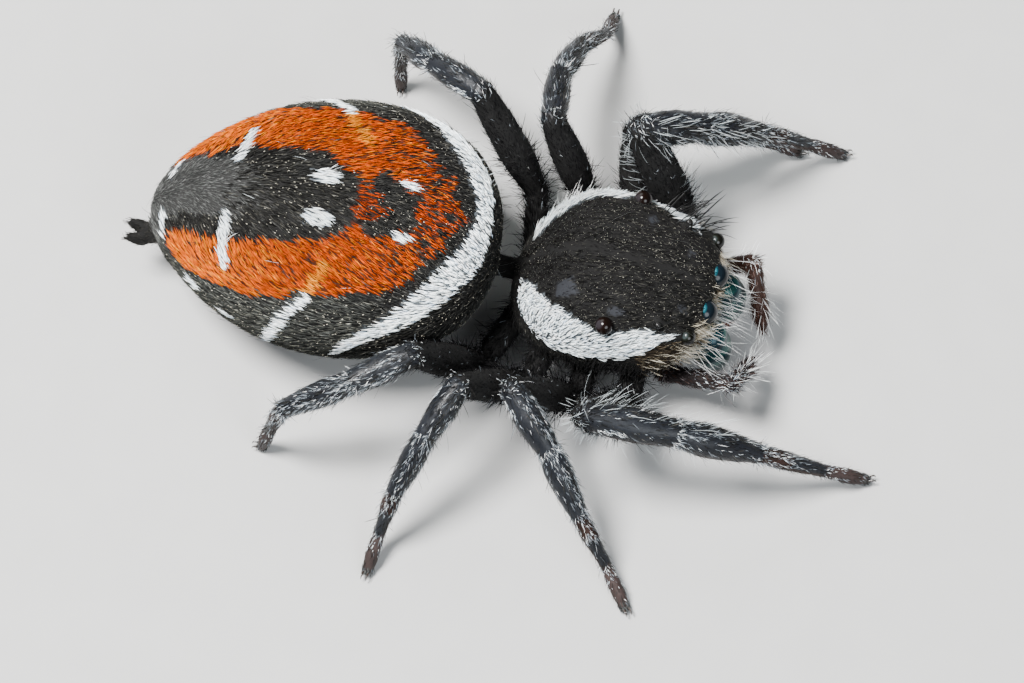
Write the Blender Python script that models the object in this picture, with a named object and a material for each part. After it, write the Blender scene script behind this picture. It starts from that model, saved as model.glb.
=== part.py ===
# Jumping spider (Phidippus carneus), adult male, life size, standing still on eight feet.
# The lengths below are millimetres in the spider's own frame: it faces -Y, its left is +X, the
# floor is z = 0, and x = y = 0 lies midway between the two rearmost eyes. EYE_ROW moves that
# frame so that the finished model is centred on the origin.
import math

import bmesh
import bpy
from mathutils import Matrix, Vector

MM = 0.001
EYE_ROW = (-0.078, -2.272)  # where the rear eye row stands in the finished model
GAP = 0.30  # between two parts that meet face to face
EYE_GAP = 0.09  # between an eye and the rim of its pocket
LEFT, RIGHT = 1, -1
SIDES = {"left": LEFT, "right": RIGHT}

# Head shield sections: y, half width, crown height, underside height
SHIELD = (
    (-1.98, 0.52, 2.90, 2.58),
    (-1.92, 0.86, 3.02, 2.46),
    (-1.80, 1.10, 3.12, 2.33),
    (-1.50, 1.42, 3.28, 2.02),
    (-1.00, 1.64, 3.42, 1.52),
    (-0.20, 1.78, 3.55, 1.42),
    (0.60, 1.84, 3.50, 1.42),
    (1.20, 1.74, 3.20, 1.42),
    (1.70, 1.48, 2.70, 1.42),
    (2.10, 1.04, 2.16, 1.43),
    (2.34, 0.56, 1.84, 1.47),
)
SHIELD_MARGIN = 0.10  # the widest line lies this far above the underside
SHIELD_SQUARENESS = 3.7
# The sternum under the shield: y, half width, top, underside
STERNUM = (
    (-0.92, 0.26, 1.52, 0.78),
    (-0.60, 0.46, 1.58, 0.66),
    (0.50, 0.56, 1.58, 0.62),
    (1.60, 0.46, 1.58, 0.66),
    (2.10, 0.24, 1.52, 0.80),
)
STERNUM_HALF_WIDTH = 0.56
STALK = dict(radius=0.25, z=1.50, start=1.80, end=2.86)  # the waist that carries the abdomen

# Eyes: x, y, z, radius
EYES = {
    "front_main": (0.43, -1.82, 2.70, 0.29),
    "front_side": (1.13, -1.66, 2.84, 0.17),
    "middle": (1.21, -1.05, 3.20, 0.08),
    "rear": (1.49, 0.00, 3.14, 0.19),
}

ABDOMEN = dict(
    centre=(-0.67, 6.20, 2.72),
    half_length=3.74,
    half_width=2.82,
    rise=2.06,  # centre line to back
    drop=2.08,  # centre line to belly
    yaw=9.35,  # degrees, tail towards the spider's right
    lead=0.42,  # how far the widest ring lies ahead of the centre
    tail_drop=0.67,  # how far the tail lies below the centre line
    tail_sway=0.32,  # how far the tail end turns back to the left
    tail_taper=0.31,
    roundness=0.877,
    squareness=2.23,
)
# The spinnerets sit on the belly at that turn of its outline, shifted sideways
SPINNERETS = dict(at=2.82, aside=-0.28, length=0.42, root_radius=0.15, tip_radius=0.09, spread=0.15, collar=0.32)

CHELICERA = dict(
    top=(0.56, -1.98, 1.96),
    bottom=(0.62, -2.10, 0.86),
    radii=(0.40, 0.46, 0.43, 0.31),
)
FANG = dict(points=((0.58, -2.20, 0.74), (0.42, -2.10, 0.54), (0.16, -2.00, 0.50)), radii=(0.15, 0.12, 0.05))

# Each palp: base, root of its thigh, elbow and tip, with the radii along each length
PALPS = {
    "left": ((0.42, -1.36, 0.84), (1.18, -1.22, 0.94), (1.38, -2.42, 1.78), (0.34, -2.92, 0.96)),
    "right": ((0.42, -1.36, 0.84), (1.18, -1.22, 0.94), (1.38, -2.70, 1.70), (0.40, -2.92, 0.88)),
}
PALP_RADII = dict(base=(0.26, 0.26), thigh=(0.25, 0.26, 0.25), tip=(0.25, 0.25, 0.22, 0.16))

# Hips: y at the sternum, then x, y, z of the outer end, the same on both sides
HIPS = (
    (-0.50, (2.24, -0.74, 1.02)),
    (0.35, (2.26, 0.34, 1.00)),
    (1.20, (2.24, 1.40, 1.00)),
    (2.00, (2.10, 2.44, 1.02)),
)
HIP_HEIGHT = 0.93
HIP_RADII = (0.29, 0.31, 0.30)

# Legs: knee, patella end, tibia end, metatarsus end, tip
LEGS = {
    "right_1": (
        (-3.42, -0.15, 2.90), (-3.15, -2.02, 2.60), (-2.70, -3.65, 1.60),
        (-2.28, -4.94, 0.65), (-2.00, -5.78, 0.11),
    ),
    "right_2": (
        (-3.28, 1.44, 2.90), (-4.16, 0.38, 2.40), (-4.94, -0.45, 1.40),
        (-5.48, -1.19, 0.50), (-6.10, -1.76, 0.11),
    ),
    "right_3": (
        (-3.52, 2.49, 3.00), (-4.59, 2.92, 2.50), (-5.53, 3.29, 1.50),
        (-6.08, 3.45, 0.60), (-6.78, 3.52, 0.11),
    ),
    "right_4": (
        (-3.22, 3.55, 3.25), (-4.12, 4.60, 3.10), (-4.66, 5.92, 2.15),
        (-4.66, 6.21, 1.00), (-4.70, 6.40, 0.11),
    ),
    "left_1": (
        (2.82, 0.45, 3.60), (3.56, -0.77, 3.00), (4.26, -1.84, 1.90),
        (4.81, -2.71, 0.80), (5.12, -3.42, 0.11),
    ),
    "left_2": (
        (3.34, 0.66, 2.40), (3.96, -0.50, 1.90), (4.52, -1.42, 1.06),
        (4.80, -2.02, 0.46), (4.92, -2.52, 0.11),
    ),
    "left_3": (
        (2.80, 2.31, 3.00), (4.14, 2.58, 2.60), (5.27, 2.37, 1.80),
        (6.11, 2.06, 0.90), (6.94, 2.09, 0.11),
    ),
    "left_4": (
        (2.91, 3.86, 3.20), (3.47, 5.08, 2.90), (4.12, 5.94, 2.10),
        (4.16, 6.01, 0.90), (4.10, 6.00, 0.11),
    ),
}
# Leg radii by pair: along the femur, then along patella and tibia, then metatarsus and tarsus
LEG_RADII = {
    "1": ((0.34, 0.45, 0.44, 0.38), (0.38, 0.41, 0.37, 0.40, 0.28), (0.27, 0.22, 0.21, 0.19)),
    "2": ((0.32, 0.38, 0.38, 0.34), (0.34, 0.36, 0.32, 0.34, 0.26), (0.25, 0.20, 0.20, 0.19)),
    "3": ((0.32, 0.38, 0.37, 0.33), (0.33, 0.34, 0.31, 0.31, 0.26), (0.25, 0.20, 0.20, 0.19)),
    "4": ((0.32, 0.39, 0.38, 0.34), (0.34, 0.35, 0.32, 0.33, 0.26), (0.25, 0.20, 0.20, 0.19)),
}

DOME_TUCK = 0.30  # share of its radius by which a limb's round end starts short of its joint
LIMB_SIDES = 10
BODY_SIDES = 28
# Colour, roughness and metallic value of each kind of surface
FINISHES = {
    "shield": ((0.018, 0.017, 0.016), 0.60, 0.0),
    "abdomen": ((0.42, 0.075, 0.012), 0.65, 0.0),
    "leg": ((0.030, 0.030, 0.033), 0.50, 0.0),
    "palp": ((0.11, 0.045, 0.030), 0.50, 0.0),
    "eye": ((0.006, 0.007, 0.009), 0.05, 0.0),
    "chelicera": ((0.010, 0.130, 0.110), 0.25, 0.6),
    "spinneret": ((0.060, 0.050, 0.045), 0.60, 0.0),
}


def place(point):
    """A point of the spider's frame, in metres in the finished model."""
    return Vector(((point[0] + EYE_ROW[0]) * MM, (point[1] + EYE_ROW[1]) * MM, point[2] * MM))


def mirrored(point, side):
    """A point given for the left, on the given side."""
    return (point[0] * side, point[1], point[2])


def finish(kind):
    """The material of a kind of surface, made once."""
    if kind in bpy.data.materials:
        return bpy.data.materials[kind]
    colour, roughness, metallic = FINISHES[kind]
    material = bpy.data.materials.new(kind)
    material.use_nodes = True
    shader = material.node_tree.nodes["Principled BSDF"]
    shader.inputs["Base Color"].default_value = (*colour, 1.0)
    shader.inputs["Roughness"].default_value = roughness
    shader.inputs["Metallic"].default_value = metallic
    return material


def node(name, bm, kind):
    """A named object with its material from a bmesh, which is then freed."""
    bmesh.ops.triangulate(bm, faces=bm.faces)
    bmesh.ops.recalc_face_normals(bm, faces=bm.faces)
    mesh = bpy.data.meshes.new(name)
    bm.to_mesh(mesh)
    bm.free()
    mesh.shade_smooth()
    mesh.set_sharp_from_angle(angle=math.radians(40))
    mesh.materials.append(finish(kind))
    thing = bpy.data.objects.new(name, mesh)
    bpy.context.scene.collection.objects.link(thing)
    return thing


def spline(rows, t):
    """Catmull-Rom value at t in 0..1 through rows of equal length."""
    spans = len(rows) - 1
    at = min(max(t, 0.0), 1.0) * spans
    i = min(int(at), spans - 1)
    f = at - i
    a, b, c, d = (rows[min(max(k, 0), spans)] for k in (i - 1, i, i + 1, i + 2))
    return tuple(
        0.5 * (2 * q + (r - p) * f + (2 * p - 5 * q + 4 * r - s) * f**2 + (3 * q - p - 3 * r + s) * f**3)
        for p, q, r, s in zip(a, b, c, d)
    )


def power(value, exponent):
    """A signed power."""
    return math.copysign(abs(value) ** exponent, value)


def bridge(bm, rings):
    """Joins rings of vertices in order and closes both ends with a fan."""
    for low, high in zip(rings, rings[1:]):
        for k in range(len(low)):
            m = (k + 1) % len(low)
            bm.faces.new((low[k], low[m], high[m], high[k]))
    for ring in (rings[0], rings[-1]):
        middle = bm.verts.new(sum((v.co for v in ring), Vector()) / len(ring))
        for k in range(len(ring)):
            bm.faces.new((ring[k], ring[(k + 1) % len(ring)], middle))


def section_ring(bm, y, half_width, top, bottom, margin, squareness, sides):
    """One upright section of the body: an arch above its margin and a shallow floor below it."""
    ring = []
    widest = bottom + margin
    for k in range(sides):
        angle = math.tau * k / sides
        x = half_width * power(math.cos(angle), 2 / squareness)
        reach = (top - widest) if math.sin(angle) > 0 else margin
        z = widest + reach * power(math.sin(angle), 2 / squareness)
        ring.append(bm.verts.new(place((x, y, z))))
    return ring


def body_loft(rows, steps, margin, squareness, sides):
    """A closed body lofted along y through rows of y, half width, top and underside."""
    bm = bmesh.new()
    rings = []
    for k in range(steps + 1):
        y, half_width, top, bottom = spline(rows, k / steps)
        rings.append(section_ring(bm, y, half_width, top, bottom, margin, squareness, sides))
    bridge(bm, rings)
    return bm


def smooth_path(points, steps):
    """Points along a polyline whose inner corners are rounded, with their fraction of its length."""
    corners = [Vector(p) for p in points]
    if len(corners) == 2:
        return [corners[0].lerp(corners[1], k / steps) for k in range(steps + 1)]
    start, corner, end = corners
    reach = 0.45 * min((corner - start).length, (end - corner).length)
    enter = corner + (start - corner).normalized() * reach
    leave = corner + (end - corner).normalized() * reach
    first = (enter - start).length
    second = (end - leave).length
    bend = (leave - enter).length
    total = first + bend + second
    path = []
    for k in range(steps + 1):
        s = total * k / steps
        if s <= first:
            path.append(start.lerp(enter, s / first))
        elif s < first + bend:
            f = (s - first) / bend
            path.append(enter.lerp(corner, f).lerp(corner.lerp(leave, f), f))
        else:
            path.append(leave.lerp(end, (s - first - bend) / second))
    return path


def limb(points, radii, sides=LIMB_SIDES, steps=5, dome=(0.45, 0.85), tucks=(DOME_TUCK, DOME_TUCK)):
    """A round limb along its points, domed at both ends, as a bmesh in the finished model's frame."""
    path = smooth_path(points, steps)
    rows = [(r,) for r in radii]
    head = (path[0] - path[1]).normalized()
    tail = (path[-1] - path[-2]).normalized()
    path[0] = path[0] - head * radii[0] * tucks[0]
    path[-1] = path[-1] - tail * radii[-1] * tucks[1]
    stops = [(p, spline(rows, k / steps)[0]) for k, p in enumerate(path)]
    first, last = stops[0], stops[-1]
    for up in dome:
        stops.insert(0, (first[0] + head * first[1] * up, first[1] * math.sqrt(1 - up * up)))
        stops.append((last[0] + tail * last[1] * up, last[1] * math.sqrt(1 - up * up)))
    bm = bmesh.new()
    rings = []
    across = head.orthogonal().normalized()
    for k, (centre, radius) in enumerate(stops):
        before = stops[max(k - 1, 0)][0]
        after = stops[min(k + 1, len(stops) - 1)][0]
        along = (after - before).normalized()
        across = (across - along * across.dot(along)).normalized()
        beside = along.cross(across)
        ring = []
        for m in range(sides):
            angle = math.tau * m / sides
            offset = across * math.cos(angle) + beside * math.sin(angle)
            ring.append(bm.verts.new(place(centre + offset * radius)))
        rings.append(ring)
    bridge(bm, rings)
    return bm


def part_off(bm, point, normal):
    """Cuts away what lies beyond a plane, in the spider's frame, and closes the cut."""
    everything = bm.verts[:] + bm.edges[:] + bm.faces[:]
    cut = bmesh.ops.bisect_plane(
        bm, geom=everything, dist=1e-9, plane_co=place(point), plane_no=Vector(normal), clear_outer=True
    )
    edges = [e for e in cut["geom_cut"] if isinstance(e, bmesh.types.BMEdge)]
    bmesh.ops.holes_fill(bm, edges=edges, sides=0)


def joint_plane(before, joint, after):
    """The normal of the plane that halves the bend at a joint, along the limb."""
    into = (Vector(joint) - Vector(before)).normalized()
    out = (Vector(after) - Vector(joint)).normalized()
    return (into + out).normalized()


def part_at_joint(bm, joint, normal, keep_before):
    """Parts a limb at a joint's plane, half a gap back from it."""
    sign = 1 if keep_before else -1
    part_off(bm, Vector(joint) - normal * sign * GAP / 2, normal * sign)


def segment(name, points, radii, kind, start=None, end=None, steps=5, floor=False):
    """One length of a limb. start and end are the neighbouring joints it is parted from."""
    bm = limb(points, radii, steps=steps, tucks=(DOME_TUCK, 0 if floor else DOME_TUCK))
    if start:
        part_at_joint(bm, points[0], joint_plane(start, points[0], points[1]), False)
    if end:
        part_at_joint(bm, points[-1], joint_plane(points[-2], points[-1], end), True)
    if floor:
        part_off(bm, (0, 0, 0), (0, 0, -1))
    return node(name, bm, kind)


def ball(centre, radius):
    """A sphere as a bmesh, finer where it is larger."""
    bm = bmesh.new()
    around = 8 + 2 * round(10 * radius)
    rings = around // 2 + 2
    matrix = Matrix.Translation(place(centre))
    bmesh.ops.create_uvsphere(bm, u_segments=around, v_segments=rings, radius=radius * MM, matrix=matrix)
    return bm


def joined(target, pieces, operation):
    """Applies one Boolean between an object and a collection of closed pieces, then removes them."""
    group = bpy.data.collections.new("pieces")
    for piece in pieces:
        bpy.context.scene.collection.objects.unlink(piece)
        group.objects.link(piece)
    change = target.modifiers.new("join", "BOOLEAN")
    change.operation = operation
    change.solver = "EXACT"
    change.operand_type = "COLLECTION"
    change.collection = group
    graph = bpy.context.evaluated_depsgraph_get()
    mesh = bpy.data.meshes.new_from_object(target.evaluated_get(graph))
    target.modifiers.clear()
    target.data = mesh
    for piece in pieces:
        bpy.data.objects.remove(piece)
    bpy.data.collections.remove(group)
    keep_largest(mesh)


def keep_largest(mesh):
    """Leaves only the largest closed surface of a mesh."""
    bm = bmesh.new()
    bm.from_mesh(mesh)
    bmesh.ops.triangulate(bm, faces=bm.faces)
    left = set(bm.faces)
    shells = []
    while left:
        shell = {left.pop()}
        edge_of = list(shell)
        while edge_of:
            face = edge_of.pop()
            near = {f for e in face.edges for f in e.link_faces} & left
            left -= near
            shell |= near
            edge_of.extend(near)
        shells.append(shell)
    shells.sort(key=len)
    for shell in shells[:-1]:
        bmesh.ops.delete(bm, geom=list(shell), context="FACES")
    bm.to_mesh(mesh)
    bm.free()


def build_cephalothorax():
    """Head shield, sternum and waist in one piece, with a pocket for each eye."""
    shield = body_loft(SHIELD, 18, SHIELD_MARGIN, SHIELD_SQUARENESS, BODY_SIDES)
    thing = node("cephalothorax", shield, "shield")
    sternum = node("sternum", body_loft(STERNUM, 10, 0.45, 2.4, 16), "shield")
    ends = ((0, STALK["start"], STALK["z"]), (0, STALK["end"], STALK["z"]))
    stalk = node("stalk", limb(ends, (STALK["radius"], STALK["radius"]), steps=2), "shield")
    joined(thing, [sternum, stalk], "UNION")
    pockets = []
    for x, y, z, radius in EYES.values():
        for side in SIDES.values():
            pockets.append(node("pocket", ball((x * side, y, z), radius + EYE_GAP), "shield"))
    joined(thing, pockets, "DIFFERENCE")


def build_eyes():
    """Eight lenses, each a ball sunk in its pocket."""
    for eye, (x, y, z, radius) in EYES.items():
        for side_name, side in SIDES.items():
            node(f"eye_{eye}_{side_name}", ball((x * side, y, z), radius), "eye")


def abdomen_point(phi, theta):
    """A point on the abdomen. phi runs from its front pole to its tail, theta round it from its left."""
    a = ABDOMEN
    along = -a["half_length"] * math.cos(phi) - a["lead"] * math.sin(phi) ** 2
    aft = (1 - math.cos(phi)) / 2  # 0 at the front, 1 at the tail
    girth = math.sin(phi) ** a["roundness"] * (1 - a["tail_taper"] * aft**6)
    bend = a["tail_drop"] * aft**2.5
    x = a["half_width"] * girth * power(math.cos(theta), 2 / a["squareness"]) + a["tail_sway"] * aft**4
    reach = a["rise"] if math.sin(theta) > 0 else a["drop"]
    z = reach * girth * power(math.sin(theta), 2 / a["squareness"])
    turn = math.radians(a["yaw"])
    cx, cy, cz = a["centre"]
    return (
        cx + x * math.cos(turn) - along * math.sin(turn),
        cy + x * math.sin(turn) + along * math.cos(turn),
        cz + z - bend,
    )


def build_abdomen():
    """The abdomen, an egg with its blunt end forward and its tail low."""
    bm = bmesh.new()
    steps = 24
    rings = []
    for k in range(1, steps):
        phi = math.pi * k / steps
        ring = [bm.verts.new(place(abdomen_point(phi, math.tau * m / BODY_SIDES))) for m in range(BODY_SIDES)]
        rings.append(ring)
    bridge(bm, rings)
    # The front is hollowed a little where the waist comes up to it
    thing = node("abdomen", bm, "abdomen")
    ends = ((0, STALK["start"], STALK["z"]), (0, STALK["end"], STALK["z"]))
    reach = STALK["radius"] + GAP
    joined(thing, [node("hollow", limb(ends, (reach, reach), steps=2), "abdomen")], "DIFFERENCE")


def build_spinnerets():
    """Two pairs of spinnerets on one collar, under the tail and pointing back."""
    s = SPINNERETS
    root = Vector(abdomen_point(s["at"], -math.pi / 2))
    along_belly = (Vector(abdomen_point(s["at"] + 0.05, -math.pi / 2)) - root).normalized()
    root.x += s["aside"]
    turn = math.radians(ABDOMEN["yaw"])
    back = Vector((-math.sin(turn), math.cos(turn), 0.0))
    beside = back.cross(Vector((0, 0, 1))).normalized()
    down = along_belly.cross(beside).normalized()
    if down.z > 0:
        down = -down
    face = root + down * GAP
    waist = face + down * 0.10
    collar = limb((face, waist), (s["collar"], s["collar"] * 0.8), steps=2)
    part_off(collar, face, -down)
    thing = node("spinnerets", collar, "spinneret")
    lie = (along_belly + back * 0.6 + down * 0.25).normalized()
    rise = beside.cross(lie)
    cones = []
    for across, height in ((1, 0.6), (-1, 0.6), (1, -0.6), (-1, -0.6)):
        foot = waist + (beside * across + rise * height) * s["spread"]
        tip = foot + (lie + beside * 0.12 * across + rise * 0.06 * height).normalized() * s["length"]
        cone = limb((foot, tip), (s["root_radius"], s["tip_radius"]), 8, 2)
        cones.append(node("cone", cone, "spinneret"))
    joined(thing, cones, "UNION")


def build_chelicerae():
    """The two jaws under the face, each with its fang folded in."""
    for side_name, side in SIDES.items():
        points = [mirrored(CHELICERA[end], side) for end in ("top", "bottom")]
        jaw = node(f"chelicera_{side_name}", limb(points, CHELICERA["radii"], 14, 7), "chelicera")
        fang = limb([mirrored(p, side) for p in FANG["points"]], FANG["radii"], 8, 5)
        joined(jaw, [node("fang", fang, "chelicera")], "UNION")


def build_palps():
    """Each palp in three lengths, from beside the mouth to the tip in front of the jaws."""
    for side_name, side in SIDES.items():
        base, root, elbow, tip = (mirrored(p, side) for p in PALPS[side_name])
        name = f"palp_{side_name}"
        segment(f"{name}_base", (base, root), PALP_RADII["base"], "palp", end=elbow, steps=3)
        segment(f"{name}_thigh", (root, elbow), PALP_RADII["thigh"], "palp", start=base, end=tip)
        segment(f"{name}_tip", (elbow, tip), PALP_RADII["tip"], "palp", start=root)


def build_legs():
    """Each leg in four lengths: hip, femur, patella with tibia, and foot."""
    for name, (knee, patella_end, ankle, tarsus, tip) in LEGS.items():
        side_name, pair = name.split("_")
        side = SIDES[side_name]
        at_sternum, outer = HIPS[int(pair) - 1]
        inner = (side * (STERNUM_HALF_WIDTH + GAP), at_sternum, HIP_HEIGHT)
        outer = mirrored(outer, side)
        femur, tibia, foot = LEG_RADII[pair]
        hip = limb((inner, outer), HIP_RADII, steps=4)
        part_off(hip, inner, (-side, 0, 0))
        part_at_joint(hip, outer, joint_plane(inner, outer, knee), True)
        node(f"leg_{name}_hip", hip, "leg")
        segment(f"leg_{name}_femur", (outer, knee), femur, "leg", start=inner, end=patella_end, steps=6)
        shin = (knee, patella_end, ankle)
        segment(f"leg_{name}_tibia", shin, tibia, "leg", start=outer, end=tarsus, steps=8)
        segment(f"leg_{name}_foot", (ankle, tarsus, tip), foot, "leg", start=patella_end, steps=6, floor=True)


for thing in list(bpy.data.objects):
    bpy.data.objects.remove(thing)
build_cephalothorax()
build_eyes()
build_abdomen()
build_spinnerets()
build_chelicerae()
build_palps()
build_legs()
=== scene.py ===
import math

import bmesh
import bpy
import numpy as np
from mathutils import Matrix, Vector
from mathutils.bvhtree import BVHTree
from mathutils.kdtree import KDTree


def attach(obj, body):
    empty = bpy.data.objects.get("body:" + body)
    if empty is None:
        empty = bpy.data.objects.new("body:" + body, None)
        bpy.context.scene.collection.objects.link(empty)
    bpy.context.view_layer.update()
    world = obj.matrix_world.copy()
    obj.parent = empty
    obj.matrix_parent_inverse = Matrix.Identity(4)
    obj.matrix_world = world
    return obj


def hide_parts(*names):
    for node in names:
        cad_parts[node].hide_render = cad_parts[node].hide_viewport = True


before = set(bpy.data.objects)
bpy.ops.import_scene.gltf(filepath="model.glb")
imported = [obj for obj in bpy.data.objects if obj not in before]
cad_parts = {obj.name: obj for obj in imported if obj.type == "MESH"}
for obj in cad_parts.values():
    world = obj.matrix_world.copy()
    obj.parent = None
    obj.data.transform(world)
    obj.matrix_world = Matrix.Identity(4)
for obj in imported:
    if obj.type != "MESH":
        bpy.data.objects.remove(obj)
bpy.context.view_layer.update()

# Lengths are millimetres in the spider's own frame, as in the solids: it faces -Y, its left is +X,
# the floor is z = 0 and x = y = 0 lies midway between the two rearmost eyes.
mm = 0.001
eyeRow = np.array((-0.078, -2.272, 0.0))
left, right = 1, -1
sides = {"left": left, "right": right}
tau = 2 * math.pi


# numbers to shapes
def placed(points):
    return (np.asarray(points, float) + eyeRow) * mm


def splineRows(rows, t):
    # Catmull-Rom through the rows, t from 0 to 1
    rows = np.asarray(rows, float)
    if rows.ndim == 1:
        rows = rows[:, None]
    spans = len(rows) - 1
    at = np.clip(t, 0, 1) * spans
    i = np.minimum(at.astype(int), spans - 1)
    f = (at - i)[..., None]
    a, b, c, d = (rows[np.clip(i + k, 0, spans)] for k in (-1, 0, 1, 2))
    return 0.5 * (2 * b + (c - a) * f + (2 * a - 5 * b + 4 * c - d) * f**2 + (3 * b - a - 3 * c + d) * f**3)


def signedPower(value, exponent):
    return np.sign(value) * np.abs(value) ** exponent


def unit(v):
    return v / np.maximum(np.linalg.norm(v, axis=-1, keepdims=True), 1e-9)


def lengthOf(v):
    return np.linalg.norm(v, axis=-1)


def sided(place, side):
    # a place on the left, or its mirror image on the right
    return np.array((place[0] * side, place[1], place[2]), float)


def smoothStep(value, low, high):
    t = np.clip((value - low) / (high - low), 0, 1)
    return t * t * (3 - 2 * t)


def waves(points, scale, seed):
    # soft lumpy noise from a few sine waves, about -1 to 1
    rng = np.random.default_rng(seed)
    total = np.zeros(len(points))
    for _ in range(6):
        direction = unit(rng.normal(size=3))
        rate = tau / scale * rng.uniform(0.6, 1.6)
        total += np.sin(points @ direction * rate + rng.uniform(0, tau))
    return total / 3


# the spider's surfaces, each a function of u (along) and v (around, 0 to 1)
shield = dict(
    rows=(
        (-1.98, 0.52, 2.90, 2.58), (-1.92, 0.86, 3.02, 2.46), (-1.80, 1.10, 3.12, 2.33),
        (-1.50, 1.42, 3.28, 2.02), (-1.00, 1.64, 3.42, 1.52), (-0.20, 1.78, 3.55, 1.42),
        (0.60, 1.84, 3.50, 1.42), (1.20, 1.74, 3.20, 1.42), (1.70, 1.48, 2.70, 1.42),
        (2.10, 1.04, 2.16, 1.43), (2.34, 0.56, 1.84, 1.47),
    ),
    margin=0.10,
    squareness=3.7,
    coatDepth=0.07,
)
sternum = dict(
    rows=(
        (-0.92, 0.26, 1.52, 0.78), (-0.60, 0.46, 1.58, 0.66), (0.50, 0.56, 1.58, 0.62),
        (1.60, 0.46, 1.58, 0.66), (2.10, 0.24, 1.52, 0.80),
    ),
    margin=0.45,
    squareness=2.4,
    coatDepth=0.03,
    halfWidth=0.56,
)
stalk = dict(radius=0.25, z=1.50, start=1.60, end=3.10, coatDepth=0.02)
abdomen = dict(
    centre=(-0.67, 6.20, 2.72), halfLength=3.74, halfWidth=2.82, rise=2.06, drop=2.08, yaw=9.35, lead=0.42,
    tailDrop=0.67, tailSway=0.32, tailTaper=0.31, roundness=0.877, squareness=2.23, coatDepth=0.10,
)
eyes = {
    "front_main": (0.43, -1.82, 2.70, 0.29),
    "front_side": (1.13, -1.66, 2.84, 0.17),
    "middle": (1.21, -1.05, 3.20, 0.08),
    "rear": (1.49, 0.00, 3.14, 0.19),
}
hips = (
    (-0.50, (2.24, -0.74, 1.02)), (0.35, (2.26, 0.34, 1.00)),
    (1.20, (2.24, 1.40, 1.00)), (2.00, (2.10, 2.44, 1.02)),
)
hipHeight = 0.93
hipRadii = (0.29, 0.31, 0.30)
# knee, patella end, tibia end, metatarsus end, tip
legs = {
    "right_1": (
        (-3.42, -0.15, 2.90), (-3.15, -2.02, 2.60), (-2.70, -3.65, 1.60),
        (-2.28, -4.94, 0.65), (-2.00, -5.78, 0.11),
    ),
    "right_2": (
        (-3.28, 1.44, 2.90), (-4.16, 0.38, 2.40), (-4.94, -0.45, 1.40),
        (-5.48, -1.19, 0.50), (-6.10, -1.76, 0.11),
    ),
    "right_3": (
        (-3.52, 2.49, 3.00), (-4.59, 2.92, 2.50), (-5.53, 3.29, 1.50),
        (-6.08, 3.45, 0.60), (-6.78, 3.52, 0.11),
    ),
    "right_4": (
        (-3.22, 3.55, 3.25), (-4.12, 4.60, 3.10), (-4.66, 5.92, 2.15),
        (-4.66, 6.21, 1.00), (-4.70, 6.40, 0.11),
    ),
    "left_1": (
        (2.82, 0.45, 3.60), (3.56, -0.77, 3.00), (4.26, -1.84, 1.90),
        (4.81, -2.71, 0.80), (5.12, -3.42, 0.11),
    ),
    "left_2": (
        (3.34, 0.66, 2.40), (3.96, -0.50, 1.90), (4.52, -1.42, 1.06),
        (4.80, -2.02, 0.46), (4.92, -2.52, 0.11),
    ),
    "left_3": (
        (2.80, 2.31, 3.00), (4.14, 2.58, 2.60), (5.27, 2.37, 1.80),
        (6.11, 2.06, 0.90), (6.94, 2.09, 0.11),
    ),
    "left_4": (
        (2.91, 3.86, 3.20), (3.47, 5.08, 2.90), (4.12, 5.94, 2.10),
        (4.16, 6.01, 0.90), (4.10, 6.00, 0.11),
    ),
}
legRadii = {
    "1": ((0.34, 0.45, 0.44, 0.38), (0.38, 0.41, 0.37, 0.40, 0.28), (0.27, 0.22, 0.21, 0.19)),
    "2": ((0.32, 0.38, 0.38, 0.34), (0.34, 0.36, 0.32, 0.34, 0.26), (0.25, 0.20, 0.20, 0.19)),
    "3": ((0.32, 0.38, 0.37, 0.33), (0.33, 0.34, 0.31, 0.31, 0.26), (0.25, 0.20, 0.20, 0.19)),
    "4": ((0.32, 0.39, 0.38, 0.34), (0.34, 0.35, 0.32, 0.33, 0.26), (0.25, 0.20, 0.20, 0.19)),
}
legCoatDepth = 0.045
# base, root of the thigh, elbow, tip, x as on the left
palps = {
    "left": ((0.42, -1.36, 0.84), (1.18, -1.22, 0.94), (1.38, -2.42, 1.78), (0.34, -2.92, 0.96)),
    "right": ((0.42, -1.36, 0.84), (1.18, -1.22, 0.94), (1.38, -2.70, 1.70), (0.40, -2.92, 0.88)),
}
palpRadii = dict(base=(0.26, 0.26), thigh=(0.25, 0.26, 0.25), tip=(0.25, 0.25, 0.22, 0.16))
palpCoatDepth = 0.05
chelicera = dict(top=(0.56, -1.98, 1.96), bottom=(0.62, -2.10, 0.86), radii=(0.40, 0.46, 0.43, 0.31))
fang = dict(points=((0.58, -2.20, 0.74), (0.42, -2.10, 0.54), (0.16, -2.00, 0.50)), radii=(0.15, 0.12, 0.05))
spinnerets = dict(
    at=2.82, aside=-0.28, length=0.40, rootRadius=0.13, tipRadius=0.08, spread=0.13, collar=0.28,
    coatDepth=0.02,
)


def eachEye():
    for eye, (*place, radius) in eyes.items():
        for sideName, side in sides.items():
            yield eye, sideName, side, sided(place, side), radius


def loftSurface(name, body):
    # an upright section at each y: an arch above the widest line, a shallow floor below it
    depth = body["coatDepth"]

    def point(u, v):
        row = splineRows(body["rows"], u)
        angle = tau * v
        widest = row[..., 3] + body["margin"]
        power = 2 / body["squareness"]
        x = (row[..., 1] - depth) * signedPower(np.cos(angle), power)
        reach = np.where(np.sin(angle) > 0, row[..., 2] - widest - depth, body["margin"] - depth * 0.5)
        z = widest + reach * signedPower(np.sin(angle), power)
        y = row[..., 0] + depth * (1 - 2 * np.clip(u, 0, 1))
        return np.stack([x, y, z], -1)

    return dict(name=name, kind=name, point=point, span=(0.0, 1.0))


def abdomenAlong(phi):
    return -abdomen["halfLength"] * np.cos(phi) - abdomen["lead"] * np.sin(phi) ** 2


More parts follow.
